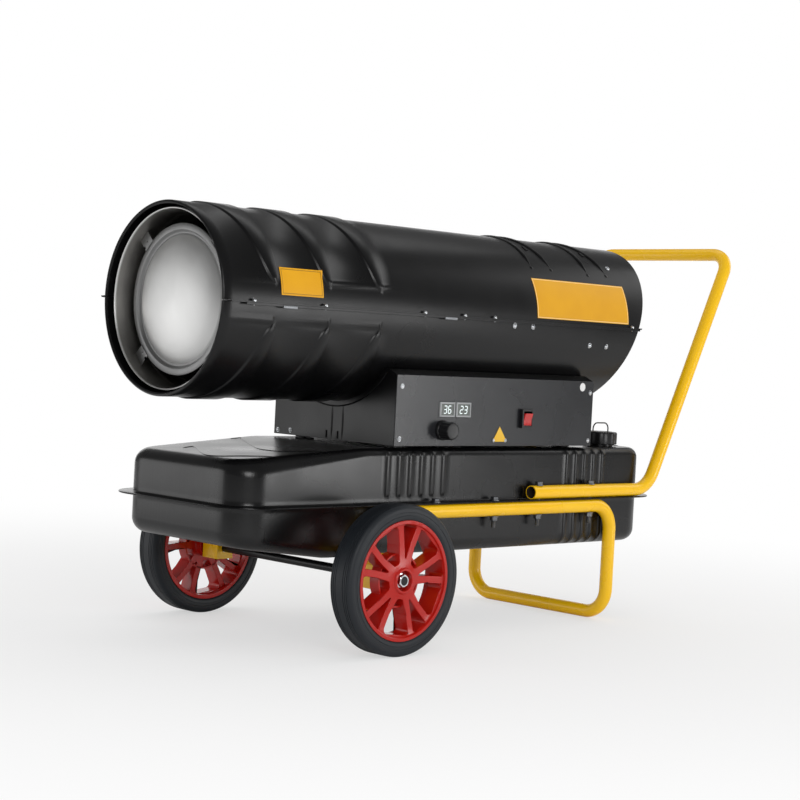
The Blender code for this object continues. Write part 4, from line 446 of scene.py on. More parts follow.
# Drum casing: two half shells rolled from 1.2 mm sheet, with three raised bands each at the hot end,
# a rolled front lip and flat seam flanges screwed together along both sides; black powder coat.
DRUM_FRONT, DRUM_REAR, DRUM_RADIUS, DRUM_Z = -0.309, 0.728, 0.159, 0.5645
DRUM_TILT = radians(19.8)
CASING_SHEET = 0.0012
SEAM_FLANGE = 0.008
LIP_DEPTH, LIP_RADIUS = 0.006, 0.0025
BAND_EDGES = (-0.196, -0.079, 0.038)
BAND_WIDTH, BAND_POINT, BAND_HEIGHT, BAND_SLOPE = 0.059, 0.01, 0.003, 0.005
BAND_END, BAND_EASE = radians(13), 0.06
BAND_SHARES = ((0.0, 0.0), (0.2, 0.1), (0.4, 0.35), (0.6, 0.65), (0.8, 0.9), (1.0, 1.0))
DIMPLES = {True: ((-0.205, 14), (-0.081, 14), (0.036, 14)), False: ((-0.206, 10), (-0.085, 10), (0.032, 10))}
DIMPLE_REACH, DIMPLE_HEIGHT = 0.006, 0.0022
PLAIN_FRONT, PLAIN_REAR, PLAIN_STEP, REAR_ROOM = 0.02, 0.06, 0.065, 0.002
CASING_TURN_STEPS = 120


def on_drum(x, degrees, lift=0.0, side=-1):
    """A point on the drum's skin, its angle counted up from the seam on one side."""
    radius = DRUM_RADIUS + lift
    return at(x, side * radius * cos(radians(degrees)), DRUM_Z + radius * sin(radians(degrees)))


def band_columns(rise):
    """Places along the drum of the bands' slopes at an angle up from the seam."""
    share = sqrt(max(0.0, (rise - BAND_END) / (pi / 2 - BAND_END)))
    width = BAND_POINT + (BAND_WIDTH - BAND_POINT) * share
    full = BAND_HEIGHT * min(1.0, max(0.0, (rise - BAND_END + BAND_EASE / 2) / BAND_EASE))
    columns = []
    for edge in BAND_EDGES:
        front = edge - width
        columns += [(front + BAND_SLOPE * u * min(1.0, width / (2 * BAND_SLOPE)), full * v) for u, v in BAND_SHARES]
        columns += [(edge - BAND_SLOPE * 0.5 * u, full * v) for u, v in reversed(BAND_SHARES)]
    return columns


def skin_lift(x, rise):
    """How far the bands raise the skin at a place."""
    columns = [(DRUM_FRONT, 0.0)] + band_columns(rise) + [(DRUM_REAR, 0.0)]
    for (x0, lift0), (x1, lift1) in zip(columns, columns[1:]):
        if x0 <= x < x1:
            return lift0 + (lift1 - lift0) * (x - x0) / (x1 - x0)
    return 0.0


def casing_shell(name, is_top):
    """Columns follow the bands, rows go round from seam to seam; the seam flanges are folded on last."""
    way = 1 if is_top else -1
    seam_z = DRUM_Z + way * CASING_SHEET
    rows = []
    for step in range(CASING_TURN_STEPS + 1):
        turn = pi * step / CASING_TURN_STEPS
        rise = min(turn, pi - turn)
        lip = [(DRUM_FRONT + LIP_RADIUS, -LIP_DEPTH)]
        lip += [(DRUM_FRONT + LIP_RADIUS * (1 - sin(a)), -LIP_RADIUS * (1 - cos(a)) - LIP_RADIUS * 0.2)
                for a in (radians(100), radians(60), radians(30))]
        columns = lip + [(DRUM_FRONT + LIP_RADIUS, 0.0), (DRUM_FRONT + PLAIN_FRONT, 0.0)] + band_columns(rise)
        columns += [(PLAIN_REAR + PLAIN_STEP * i, 0.0) for i in range(10)]
        row = []
        for x, lift in columns + [(None, 0.0)]:
            if x is not None:
                for place_x, degrees in DIMPLES[is_top]:
                    away = hypot(x - place_x, DRUM_RADIUS * (rise - radians(degrees)))
                    lift += DIMPLE_HEIGHT * max(0.0, 1 - (away / DIMPLE_REACH) ** 2) ** 2
            radius = DRUM_RADIUS + lift
            z = way * max(way * (DRUM_Z + way * radius * sin(turn)), way * seam_z)
            reach = DRUM_REAR + (z - DRUM_Z) * tan(DRUM_TILT)
            row.append(at(reach if x is None else min(x, reach - REAR_ROOM), -radius * cos(turn), z))
        rows.append(row)
    for side, first in ((-1, rows[0]), (1, rows[-1])):
        flange = [Vector((p.x, side * (DRUM_RADIUS + SEAM_FLANGE), p.z)) for p in first]
        rows = [flange] + rows if side < 0 else rows + [flange]
    shell = sheet_grid(name, rows)
    edit(shell, weld, face_out)
    look_along(shell, 2, way)
    modify(shell, "SOLIDIFY", thickness=CASING_SHEET, offset=-1.0)
    return shell


settle(casing_shell("casing_upper_shell", True), black_coat, stands_for=("upper_casing",))
settle(casing_shell("casing_lower_shell", False), black_coat, stands_for=("lower_casing",))

# Casing trim: pairs of pressed ridges over the rear with a lanced slot between them, a folded hem
# under each seam with short clips, pan-head screws of bright zinc, and two bare foil plates.
SIDES = (("near", -1), ("far", 1))
RIDGES = ((0.444, 41.0, 0.449), (0.4985, 40.5, 0.475), (0.6035, 39.0, 0.607), (0.66, 40.0, 0.633))
RIDGE_RADIUS, RIDGE_SUNK, RIDGE_STEP, RIDGE_EASE = 0.005, 0.0016, 3.0, 8.0
DOT_DROP = 1.6
DOT_PROFILE = ((0.0, 0.0042), (0.0006, 0.0034), (0.001, 0.0018), (0.0011, 0.0))
SLOTS = ((0.471, 60.0), (0.6366, 60.0))
SLOT_LENGTH, SLOT_WIDTH, SLOT_HEIGHT, PRESSED_EDGE = 0.014, 0.0065, 0.0036, 0.0009
HEM_START, HEM_END, HEM_DROP, HEM_SHEET, HEM_EDGE = -0.268, 0.722, 0.0048, 0.0012, 0.0004
CLIPS = (-0.178, 0.192)
CLIP_HALF = Vector((0.015, 0.0011, 0.0024))
SEAM_SCREWS = (-0.25, -0.099, 0.131, 0.23, 0.308, 0.701)
SEAM_SCREW_Y, SEAM_SCREW_SCALE, SKIN_SCREW_SCALE = 0.1635, (1.5, 0.95, 0.95), (1.2, 1.2, 1.2)
SKIN_SCREWS = ((0.68, 46.0), (0.367, -3.4), (0.417, -3.3), (0.586, -13.7), (0.636, -13.8))
SCREW_HEAD = (
    (-0.0006, 0.0), (-0.0006, 0.0042), (0.0006, 0.0042), (0.0006, 0.0036), (0.0014, 0.0034), (0.0022, 0.0027),
    (0.0027, 0.0016), (0.0029, 0.0))
SCREW_CROSS_LENGTH, SCREW_CROSS_WIDTH, SCREW_CROSS_DEPTH = 0.0042, 0.0009, 0.0014
SCREW_TIP = ((0.0, 0.0), (0.0, 0.0016), (0.0035, 0.0015), (0.0045, 0.0007), (0.0045, 0.0))
PLATES = (("front", -0.19, -0.1, 5.2, 21.7, 0.003, "#a8791a"),
          ("rear", 0.4285, 0.695, 2.6, 30.4, 0.0018, "#ffd890"))
PLATE_SHEET, PLATE_STEP, PLATE_ROWS, PLATE_LINE = 0.00045, 0.004, 24, 0.0007
PLATE_COLOURS = ("#dc9c06", "#e8a90e")

# Bright zinc plate on pressed and turned steel: a slightly blue metal with a soft, fine grain.
zinc = grained("bright_zinc_plate", ("#cfd2d6", "#eceef0"), (0.24, 0.36), 900, 0.00001, drift=120, Metallic=1.0)
# The same plate passivated and handled: greyer and duller, on the clips and on the frame's bolts.
dull_zinc = grained("dulled_zinc_plate", ("#75777a", "#909295"), (0.36, 0.5), 900, 0.00002, drift=120, Metallic=1.0)


def set_down(piece, place, axis=(1, 0, 0), turn=0.0):
    """Point a piece's own X along an axis, turn it about that and move it to its place."""
    lean = Vector((1, 0, 0)).rotation_difference(Vector(axis)).to_matrix().to_4x4()
    piece.matrix_world = Matrix.Translation(place) @ lean @ Matrix.Rotation(turn, 4, "X")
    return piece


def turned(name, profile, place=(0, 0, 0), axis=(1, 0, 0), steps=96, is_closed=False):
    """A piece turned on a lathe: its profile is (along, radius) points, spun about its own X."""
    piece = added(name, bpy.ops.mesh.primitive_circle_add, vertices=len(profile), fill_type="NOTHING")
    piece.data.vertices.foreach_set("co", [value for along, radius in profile for value in (along, radius, 0.0)])
    if not is_closed:
        bpy.context.tool_settings.mesh_select_mode = (False, True, False)
        for vertex in piece.data.vertices:
            vertex.select = False
        for edge in piece.data.edges:
            edge.select = set(edge.vertices) == {0, len(profile) - 1}
        bpy.ops.object.mode_set(mode="EDIT")
        bpy.ops.mesh.delete(type="EDGE")
        bpy.ops.object.mode_set(mode="OBJECT")
        bpy.context.tool_settings.mesh_select_mode = (True, False, False)
    edit(piece, lambda: bpy.ops.mesh.spin(steps=steps, angle=2 * pi, center=(0, 0, 0), axis=(1, 0, 0)))
    edit(piece, weld, bpy.ops.mesh.dissolve_degenerate, face_out)
    return set_down(piece, place, axis)


def another(piece, name):
    """A copy of a piece with its own mesh."""
    copy = piece.copy()
    copy.data = piece.data.copy()
    copy.name = copy.data.name = name
    bpy.context.scene.collection.objects.link(copy)
    return copy


def fasten(part, name, place, axis, turn=0.0, scale=(1, 1, 1)):
    """Set a copy of a zinc-plated fastener down on its seat."""
    copy = set_down(another(part, name), place, axis, turn)
    copy.scale = scale
    settle(copy, zinc)


def block(name, low, high, bevel=0.0, segments=2):
    """A bar or plate between two corners, its edges broken by a bevel."""
    low, high = Vector(low), Vector(high)
    piece = added(name, bpy.ops.mesh.primitive_cube_add, size=1.0, location=(low + high) / 2, scale=high - low)
    keep_place(piece)
    if bevel:
        edit(piece, lambda: bpy.ops.mesh.bevel(offset=bevel, segments=segments, affect="EDGES"))
    return piece


def ridge_x(degrees, foot_x, foot, top_x):
    """A ridge runs straight up the side and bends softly over the top."""
    reach = sqrt((90 - foot) ** 2 + RIDGE_EASE ** 2) - RIDGE_EASE
    return top_x + (foot_x - top_x) * (sqrt((90 - degrees) ** 2 + RIDGE_EASE ** 2) - RIDGE_EASE) / reach


def printed_foil(name, width, height, inset, line_colour):
    """Self-adhesive foil left bare: a plain field, a thin frame printed inside its edge, and the slight
    waviness that rubbing it on leaves."""
    material, tree, shader, place = begin_material(name, Roughness=0.42, IOR=1.5, Specular_IOR_Level=0.3)
    spot = add_node(tree, "SeparateXYZ", {0: add_node(tree, "TexCoord").outputs["UV"]})
    to_edge = [add_node(tree, "Math", {0: spot.outputs[i], 1: 0.5}, operation="PINGPONG") for i in (0, 1)]
    metres = [add_node(tree, "Math", {0: share.outputs[0], 1: size}, operation="MULTIPLY")
              for share, size in zip(to_edge, (width, height))]
    nearest = add_node(tree, "Math", {0: metres[0].outputs[0], 1: metres[1].outputs[0]}, operation="MINIMUM")
    line = add_node(tree, "Math", {0: nearest.outputs[0], 1: inset, 2: PLATE_LINE}, operation="COMPARE")
    waves = add_node(tree, "TexNoise", {"Vector": place, "Scale": 24.0, "Detail": 2.0})
    field = add_node(tree, "Mix", {0: waves.outputs[0], 6: linear(PLATE_COLOURS[0]),
                                   7: linear(PLATE_COLOURS[1])}, data_type="RGBA")
    printed = add_node(tree, "Mix", {0: line.outputs[0], 6: field.outputs[2], 7: linear(line_colour)},
                       data_type="RGBA")
    bump = add_node(tree, "Bump", {"Height": waves.outputs[0], "Distance": 0.0003})
    set_inputs(tree, shader, {"Base Color": printed.outputs[2], "Normal": bump.outputs[0]})
    return material


dot = turned("ridge_end_dot", DOT_PROFILE, steps=32)
for i, (foot_x, foot, top_x) in enumerate(RIDGES):
    count = round((180 - 2 * foot) / RIDGE_STEP)
    turns = [foot + (180 - 2 * foot) * j / count for j in range(count + 1)]
    path = [on_drum(ridge_x(min(turn, 180 - turn), foot_x, foot, top_x), turn, -RIDGE_SUNK) for turn in turns]
    settle(round_bar("casing_ridge_%d" % (i + 1), path, RIDGE_RADIUS, taper=True), black_coat)
    for word, side in SIDES:
        spot = on_drum(foot_x, foot - DOT_DROP, 0.0, side)
        piece = set_down(another(dot, "ridge_dot_%s_%d" % (word, i + 1)), spot, spot - at(foot_x, 0, DRUM_Z))
        settle(piece, black_coat)
bpy.data.objects.remove(dot)
screw = turned("pan_screw", SCREW_HEAD, steps=40)
top, half, width = SCREW_HEAD[-1][0], SCREW_CROSS_LENGTH / 2, SCREW_CROSS_WIDTH / 2
cut(screw, block("cross", (top - SCREW_CROSS_DEPTH, -half, -width), (top + SCREW_CROSS_DEPTH, half, width)),
    block("cross", (top - SCREW_CROSS_DEPTH, -width, -half), (top + SCREW_CROSS_DEPTH, width, half)))
tip = turned("screw_tip", SCREW_TIP, steps=24)
for word, side in SIDES:
    for i, (x, turn) in enumerate(SLOTS):
        slot = block("casing_slot_%s_%d" % (word, i + 1), (-SLOT_HEIGHT, -SLOT_LENGTH / 2, -SLOT_WIDTH / 2),
                     (SLOT_HEIGHT / 2, SLOT_LENGTH / 2, SLOT_WIDTH / 2), PRESSED_EDGE)
        spot = on_drum(x, turn, 0.0, side)
        out = (spot - at(x, 0, DRUM_Z)).normalized()
        around = out.cross(Vector((1, 0, 0)))
        slot.matrix_world = Matrix.Translation(spot) @ Matrix((out, around, out.cross(around))).transposed().to_4x4()
        settle(slot, black_coat, is_bevelled=True)
    edge_y = side * (DRUM_RADIUS + SEAM_FLANGE)
    hem = block("seam_hem_" + word, at(HEM_START, edge_y - HEM_SHEET / 2, DRUM_Z - HEM_DROP),
                at(HEM_END, edge_y + HEM_SHEET / 2, DRUM_Z - CASING_SHEET / 3), HEM_EDGE)
    settle(hem, black_coat, is_bevelled=True)
    for i, x in enumerate(CLIPS):
        middle = at(x, edge_y + side * HEM_SHEET / 2, DRUM_Z - HEM_DROP)
        clip = block("seam_clip_%s_%d" % (word, i + 1), middle - CLIP_HALF, middle + CLIP_HALF, PRESSED_EDGE, 3)
        settle(clip, dull_zinc, is_bevelled=True)
    for i, x in enumerate(SEAM_SCREWS):
        above, below = (at(x, side * SEAM_SCREW_Y, DRUM_Z + way * CASING_SHEET) for way in (1, -1))
        fasten(screw, "seam_screw_%s_%d" % (word, i + 1), above, (0, 0, 1), i, SEAM_SCREW_SCALE)
        fasten(tip, "seam_screw_tip_%s_%d" % (word, i + 1), below, (0, 0, -1))
    for i, (x, turn) in enumerate(SKIN_SCREWS):
        spot = on_drum(x, turn, 0.0, side)
        fasten(screw, "casing_screw_%s_%d" % (word, i + 1), spot, spot - at(x, 0, DRUM_Z), i, SKIN_SCREW_SCALE)
bpy.data.objects.remove(tip)
for word, x0, x1, low, high, inset, line_colour in PLATES:
    columns = round((x1 - x0) / PLATE_STEP)
    rows = []
    for j in range(PLATE_ROWS + 1):
        turn = low + (high - low) * j / PLATE_ROWS
        xs = [x0 + (x1 - x0) * i / columns for i in range(columns + 1)]
        rows.append([on_drum(x, turn, PLATE_SHEET + skin_lift(x, radians(turn))) for x in xs])
    plate = sheet_grid("blank_plate_" + word, rows)
    look_along(plate, 1, -1)
    modify(plate, "SOLIDIFY", thickness=PLATE_SHEET, offset=-1.0)
    foil = printed_foil("printed_foil_" + word, x1 - x0, DRUM_RADIUS * radians(high - low), inset, line_colour)
    settle(plate, foil)

# Combustion chamber and heat deflector: rolled and pressed from heat-resistant steel; the chamber's
# front edge is hemmed, and the dished deflector hangs in it on four riveted tabs.
CHAMBER_FRONT, CHAMBER_LENGTH, CHAMBER_RADIUS, CHAMBER_SHEET = -0.297, 0.6, 0.1475, 0.0015
CHAMBER_SWAGES = (0.088, 0.052)
SWAGE_SHAPE = (
    (0.007, 0.0), (0.005, 0.0006), (0.0025, 0.0017), (0.0, 0.0021), (-0.0025, 0.0017), (-0.005, 0.0006),
    (-0.007, 0.0))
BURNER_HOLE = 0.048
DISC_X, DISC_RADIUS, DISC_SHEET = -0.274, 0.1245, 0.0015
DISC_PROFILE = (
    (-0.016, 0.0), (-0.0158, 0.012), (-0.015, 0.03), (-0.0132, 0.05), (-0.0104, 0.068), (-0.0066, 0.084),
    (-0.003, 0.094), (0.0004, 0.1005), (0.003, 0.104), (0.0046, 0.1062), (0.005, 0.1082), (0.0046, 0.11),
    (0.003, 0.1118), (0.0012, 0.1128), (0.0002, 0.1138), (0.0, 0.115), (0.0, 0.1228), (0.0006, 0.124),
    (0.002, 0.1245))
TAB_TURNS = (45, 135, 225, 315)
TAB_HALF_WIDTH, TAB_LAP, TAB_GAP, TAB_EDGE = 0.0125, 0.004, 0.001, 0.0004
TAB_NOTCH, NOTCH_LOW, NOTCH_HIGH, RIVET_OUT = 0.003, 0.002, 0.007, 0.006
# Where the painted shade on the dome's rim and the painted highlight on the chamber's hem fade in.
DISC_RIM_PAINTED_SHADE, CHAMBER_HEM_PAINTED_HIGHLIGHT, CHAMBER_HEM_HIGHLIGHT_START = (0.1035, 0.1075), (0.0545, 0.0515), 0.05
RIVET_PROFILE = ((-0.0016, 0.0), (-0.0014, 0.0014), (-0.0006, 0.0026), (0.0002, 0.003), (0.0002, 0.0))

# Aluminised sheet after some firing: soft grey with cloudy patches and a matt rolled grain of about 1 mm;
# the chamber's steel is a darker grey as painted shade inside the drum, brushed round the can in lines 1 mm apart.
dome_steel = grained("aluminised_steel_sheet", ("#cbcbca", "#e0e0df"), (0.44, 0.52), 950, 0.0001, drift=16,
                     Metallic=1.0)
chamber_sheet_painted_light = grained("painted_shade_chamber_sheet", ("#8b8986", "#aaa8a4"), (0.36, 0.46), 1000, 0.00008, drift=12,
                        stretch=(1, 0.012, 0.012), Metallic=1.0)


def paint_light_from_middle(material, middle, scale, near, far, hex_colour):
    """Paint light or shade into a finish: change it softly to another colour from a distance to the next,
    measured from a middle along the axes that scale keeps."""
    tree = material.node_tree
    shader = tree.nodes["Principled BSDF"]
    base = shader.inputs["Base Color"].links[0].from_socket
    moved = add_node(tree, "Mapping", {"Vector": add_node(tree, "TexCoord").outputs["Object"],
                                       "Location": [-m * s for m, s in zip(middle, scale)], "Scale": scale})
    away = add_node(tree, "VectorMath", {0: moved.outputs[0]}, operation="LENGTH").outputs["Value"]
    share = add_node(tree, "MapRange", {0: away, 1: near, 2: far, 3: 0.0, 4: 1.0}).outputs[0]
    blended = add_node(tree, "Mix", {0: share, 6: base, 7: linear(hex_colour)}, data_type="RGBA")
    set_inputs(tree, shader, {"Base Color": blended.outputs[2]})


# The dome's bead, groove, flat ring and tabs are painted a darker grey as painted shade round the dome,
# and the chamber's rolled front hem is painted near white as a painted highlight.
paint_light_from_middle(dome_steel, at(DISC_X, 0, DRUM_Z), (0, 1, 1), *DISC_RIM_PAINTED_SHADE, "#858585")
paint_light_from_middle(chamber_sheet_painted_light, at(CHAMBER_FRONT - CHAMBER_HEM_HIGHLIGHT_START, 0, DRUM_Z), (1, 0, 0), *CHAMBER_HEM_PAINTED_HIGHLIGHT, "#f2f2f0")

outer, inner = CHAMBER_RADIUS, CHAMBER_RADIUS - CHAMBER_SHEET
profile = [(0.0004, inner + 0.0004), (0.0, outer - 0.0003), (0.0005, outer + 0.0009), (0.0017, outer + 0.0013),
           (0.003, outer + 0.001), (0.0036, outer), (CHAMBER_LENGTH, outer), (CHAMBER_LENGTH, BURNER_HOLE),
           (CHAMBER_LENGTH - CHAMBER_SHEET, BURNER_HOLE), (CHAMBER_LENGTH - CHAMBER_SHEET, inner)]
profile += [(swage + along, inner - depth) for swage in CHAMBER_SWAGES for along, depth in SWAGE_SHAPE]
profile.append((0.0014, inner))
chamber = turned("chamber_can", profile, at(CHAMBER_FRONT, 0, DRUM_Z), steps=128, is_closed=True)
settle(chamber, chamber_sheet_painted_light, stands_for=("combustion_chamber",))
disc = turned("deflector_disc", DISC_PROFILE, steps=128)
look_along(disc, 0, -1)
modify(disc, "SOLIDIFY", thickness=DISC_SHEET, offset=-1.0)
pieces = [disc]
for turn in TAB_TURNS:
    tab = block("tab", (0.0, -TAB_HALF_WIDTH, DISC_RADIUS - TAB_LAP),
                (DISC_SHEET, TAB_HALF_WIDTH, inner - TAB_GAP), TAB_EDGE)
    cut(tab, block("notch", (-0.01, TAB_HALF_WIDTH - TAB_NOTCH, DISC_RADIUS + NOTCH_LOW),
                   (0.01, TAB_HALF_WIDTH + 0.001, DISC_RADIUS + NOTCH_HIGH)))
    rivet = turned("rivet", RIVET_PROFILE, (0, 0, DISC_RADIUS + RIVET_OUT), steps=24)
    tab = join([tab, rivet])
    tab.matrix_world = Matrix.Rotation(radians(turn), 4, "X")
    pieces.append(tab)
disc = set_down(join(pieces), at(DISC_X, 0, DRUM_Z))
settle(disc, dome_steel, stands_for=("heat_deflector",))

# Control housing and panel: a folded box of 1.2 mm black-coated sheet that carries the drum in a saddle,
# and a dark grey coated panel screwed over its open side.
BOX_FRONT = 0.0773
BOX_RIBS = (0.0015, -0.0264)
RIB_LOW, RIB_HIGH = 0.338, 0.398
RIB_RADIUS, RIB_SUNK, SADDLE_WIRE = 0.0024, 0.0006, 0.0013
BOX_SLOTS = (0.016, -0.0135)
LOUVRE_LOW, LOUVRE_HIGH, LOUVRE_HALF_WIDTH, LOUVRE_PROUD = 0.3385, 0.352, 0.0022, 0.0022
BOX_SCREWS = ((0.1462, 0.3437), (0.112, 0.3445))
SADDLE_RADIUS, SADDLE_LIP, SADDLE_SPAN = 0.1593, 0.0095, 52
PANEL_Y = -0.1588
PANEL_SCREWS = ((0.09, 0.439), (0.0887, 0.3485), (0.5907, 0.4368), (0.5911, 0.3462))

# Fine-textured dark grey coat: matt, with a grain of about a millimetre.
grey_coat = grained("grey_textured_coat", ("#1b1c1f", "#232427"), (0.25, 0.31), 1100, 0.00008,
                    Specular_IOR_Level=0.5)
# Black ABS: soft black, satin from a spark-eroded mould whose grain shows finer than a millimetre.
black_abs = grained("moulded_black_abs", ("#0f0f10", "#18181a"), (0.3, 0.4), 1300, 0.00002)


def soften(node, width, material, body="chassis"):
    """A copy of a node with its edges broken, as punching, folding and moulding leave them."""
    copy = another(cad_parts[node], node + "_finished")
    copy.parent = None
    copy.matrix_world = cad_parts[node].matrix_world
    edit(copy, weld, lambda: bpy.ops.mesh.dissolve_limited(angle_limit=radians(0.5)), face_out)
    modify(copy, "BEVEL", width=width, segments=2, limit_method="ANGLE", angle_limit=radians(32))
    return settle(copy, material, body, (node,), is_bevelled=True)


soften("control_box", 0.0006, black_coat)
soften("control_panel", 0.0005, grey_coat)
for i, y in enumerate(BOX_RIBS):
    path = [at(BOX_FRONT + RIB_SUNK, y, RIB_LOW + (RIB_HIGH - RIB_LOW) * j / 12) for j in range(13)]
    settle(round_bar("box_rib_%d" % (i + 1), path, RIB_RADIUS, taper=True), black_coat)
for i, y in enumerate(BOX_SLOTS):
    louvre = block("box_louvre_%d" % (i + 1), at(BOX_FRONT - LOUVRE_PROUD, y - LOUVRE_HALF_WIDTH, LOUVRE_LOW),
                   at(BOX_FRONT + 0.001, y + LOUVRE_HALF_WIDTH, LOUVRE_HIGH), PRESSED_EDGE)
    settle(louvre, black_coat, is_bevelled=True)
for i, (y, z) in enumerate(BOX_SCREWS):
    fasten(screw, "box_screw_%d" % (i + 1), at(BOX_FRONT, y, z), (-1, 0, 0), i)
turns = [radians(-90 + SADDLE_SPAN * (j / 12 - 1)) for j in range(25)]
reach = SADDLE_RADIUS + SADDLE_LIP
path = [at(BOX_FRONT - 0.001, reach * cos(turn), DRUM_Z + reach * sin(turn)) for turn in turns]
settle(round_bar("box_saddle_lip", path, SADDLE_WIRE, sides=3), black_coat)
for i, (x, z) in enumerate(PANEL_SCREWS):
    fasten(screw, "panel_screw_%d" % (i + 1), at(x, PANEL_Y, z), (0, -1, 0), i)

# Displays: two windows of smoked acrylic in light grey moulded frames, snapped into the panel, with lit
# seven-segment digits behind.
DISPLAY_WIDTH, DISPLAY_HEIGHT, DISPLAY_LOW = 0.0375, 0.0265, 0.3871
FIELD_GAP, FIELD_SHEET = 0.0001, 0.001
DISPLAYS = (("left", 0.20175, "36"), ("right", 0.24265, "23"))
FRAME_BORDER, FRAME_PROUD, FIELD_DEPTH = 0.0032, 0.0026, 0.0016
DIGIT_WIDTH, DIGIT_HEIGHT, DIGIT_LINE, DIGIT_GAP, DIGIT_LEAN = 0.0066, 0.0128, 0.0015, 0.0108, 0.1
BAR_END_GAP, BAR_BACK, BAR_PROUD, BAR_EDGE = 0.35, 0.0001, 0.0002, 0.00008
SEGMENTS = {"2": "abged", "3": "abgcd", "6": "afgecd"}
BARS = {"a": (0, 1, 1, 1), "b": (1, 0.5, 1, 1), "c": (1, 0, 1, 0.5), "d": (0, 0, 1, 0), "e": (0, 0, 0, 0.5),
        "f": (0, 0.5, 0, 1), "g": (0, 0.5, 1, 0.5)}

# Grey ABS: an even light grey, matt from its mould.
grey_abs = grained("moulded_grey_abs", ("#8d8f90", "#a3a5a6"), (0.38, 0.46), 1300, 0.00002)
# The dark liquid-crystal field looks mottled through its scattering film.
lcd_field = grained("lcd_field", ("#4a4f4c", "#6a706b"), (0.18, 0.24), 700, 0.0, drift=420, Coat_Weight=0.5)
# The digits shine softly by themselves.
lit_digit = grained("lit_digit", ("#e9f4f4", "#f4fbfb"), (0.3, 0.4), 900, 0.0, Emission_Color=linear("#dff2f2"),
                    Emission_Strength=0.35)
for word, middle, digits in DISPLAYS:
    x0, x1 = middle - DISPLAY_WIDTH / 2, middle + DISPLAY_WIDTH / 2
    y, z0, z1 = PANEL_Y, DISPLAY_LOW, DISPLAY_LOW + DISPLAY_HEIGHT
    border = block("display_frame_" + word, at(x0, y - FRAME_PROUD, z0), at(x1, y + 0.006, z1), 0.0008, 3)
    cut(border, block("opening", at(x0 + FRAME_BORDER, y - 0.01, z0 + FRAME_BORDER),
                      at(x1 - FRAME_BORDER, y - FRAME_PROUD + FIELD_DEPTH, z1 - FRAME_BORDER)))
    settle(border, grey_abs, stands_for=("display_" + word,))
    face_y = y - FRAME_PROUD + FIELD_DEPTH - 0.0004
    inset = FRAME_BORDER + FIELD_GAP
    field = block("display_field_" + word, at(x0 + inset, face_y, z0 + inset),
                  at(x1 - inset, face_y + FIELD_SHEET, z1 - inset))
    settle(field, lcd_field)
    bars = []
    for i, digit in enumerate(digits):
        left = middle - DIGIT_GAP / 2 - DIGIT_WIDTH / 2 + i * DIGIT_GAP
        low = (z0 + z1 - DIGIT_HEIGHT) / 2
        for key in SEGMENTS[digit]:
            u0, v0, u1, v1 = BARS[key]
            ends = [at(left + u * DIGIT_WIDTH + DIGIT_LEAN * v * DIGIT_HEIGHT, face_y, low + v * DIGIT_HEIGHT)
                    for u, v in ((u0, v0), (u1, v1))]
            reach = (ends[1] - ends[0]).length / 2 - DIGIT_LINE * BAR_END_GAP
            bar = block("bar", (-reach, -BAR_PROUD, -DIGIT_LINE / 2), (reach, BAR_BACK, DIGIT_LINE / 2), BAR_EDGE, 1)
            run = ends[1] - ends[0]
            bar.matrix_world = (Matrix.Translation((ends[0] + ends[1]) / 2)
                                @ Matrix.Rotation(-atan2(run.z, run.x), 4, "Y"))
            bars.append(bar)
    settle(join(bars), lit_digit)

# Thermostat knob: moulded black, twelve flutes round its grip and a skirt at the foot, with a smooth
# domed face; it sits on the thermostat's flattened spindle.
KNOB_PLACE = (0.1925, -0.1593, 0.364)
KNOB_RADIUS, KNOB_FLUTES, KNOB_FLUTE_DEPTH = 0.0165, 12, 0.0011
KNOB_LEVELS = (
    (0.0, 1.03, 0), (0.0, 1.06, 0), (0.004, 1.06, 0), (0.0056, 1.02, 0), (0.0062, 0.99, 0.6), (0.0075, 0.985, 1),
    (0.0235, 0.96, 1), (0.0252, 0.945, 0.8), (0.0266, 0.9, 0.3), (0.0274, 0.85, 0), (0.0276, 0.8, 0),
    (0.0269, 0.76, 0), (0.0267, 0.6, 0), (0.0266, 0.3, 0), (0.0266, 0.0, 0))


def fluted(name, levels, radius, depth, flutes, place, axis, points=144):
    """A moulding with flutes round it: its levels are (along, share of the radius, share of the depth)."""
    rows = []
    for along, share, flute in levels:
        row = []
        for i in range(points + 1):
            turn = 2 * pi * (i % points) / points
            groove = depth * flute * max(0.0, (1 - cos(flutes * turn)) / 2) ** 1.5
            row.append(Vector((along, (radius * share - groove) * cos(turn), (radius * share - groove) * sin(turn))))
        rows.append(row)
    piece = sheet_grid(name, rows)
    edit(piece, weld, bpy.ops.mesh.dissolve_degenerate, face_out)
    look_along(piece, 0, 1)
    return set_down(piece, place, axis)


knob = fluted("thermostat_grip", KNOB_LEVELS, KNOB_RADIUS, KNOB_FLUTE_DEPTH, KNOB_FLUTES, at(*KNOB_PLACE),
              (0, -1, 0))
settle(knob, black_abs, "thermostat_dial", ("thermostat_knob",), smooth=30)

# Rocker switch: a black snap-in bezel and a rocker of clear red polycarbonate, glossy from its mould;
# it is lit from inside when on, so it glows a little in its depth.
red_lens = grained("clear_red_polycarbonate", ("#b3080a", "#d0140f"), (0.06, 0.12), 400, 0.0, IOR=1.58,
                   Coat_Weight=0.4, Subsurface_Weight=0.3)
soften("switch_bezel", 0.0006, black_abs)
soften("rocker_switch", 0.0009, red_lens, "switch_rocker")

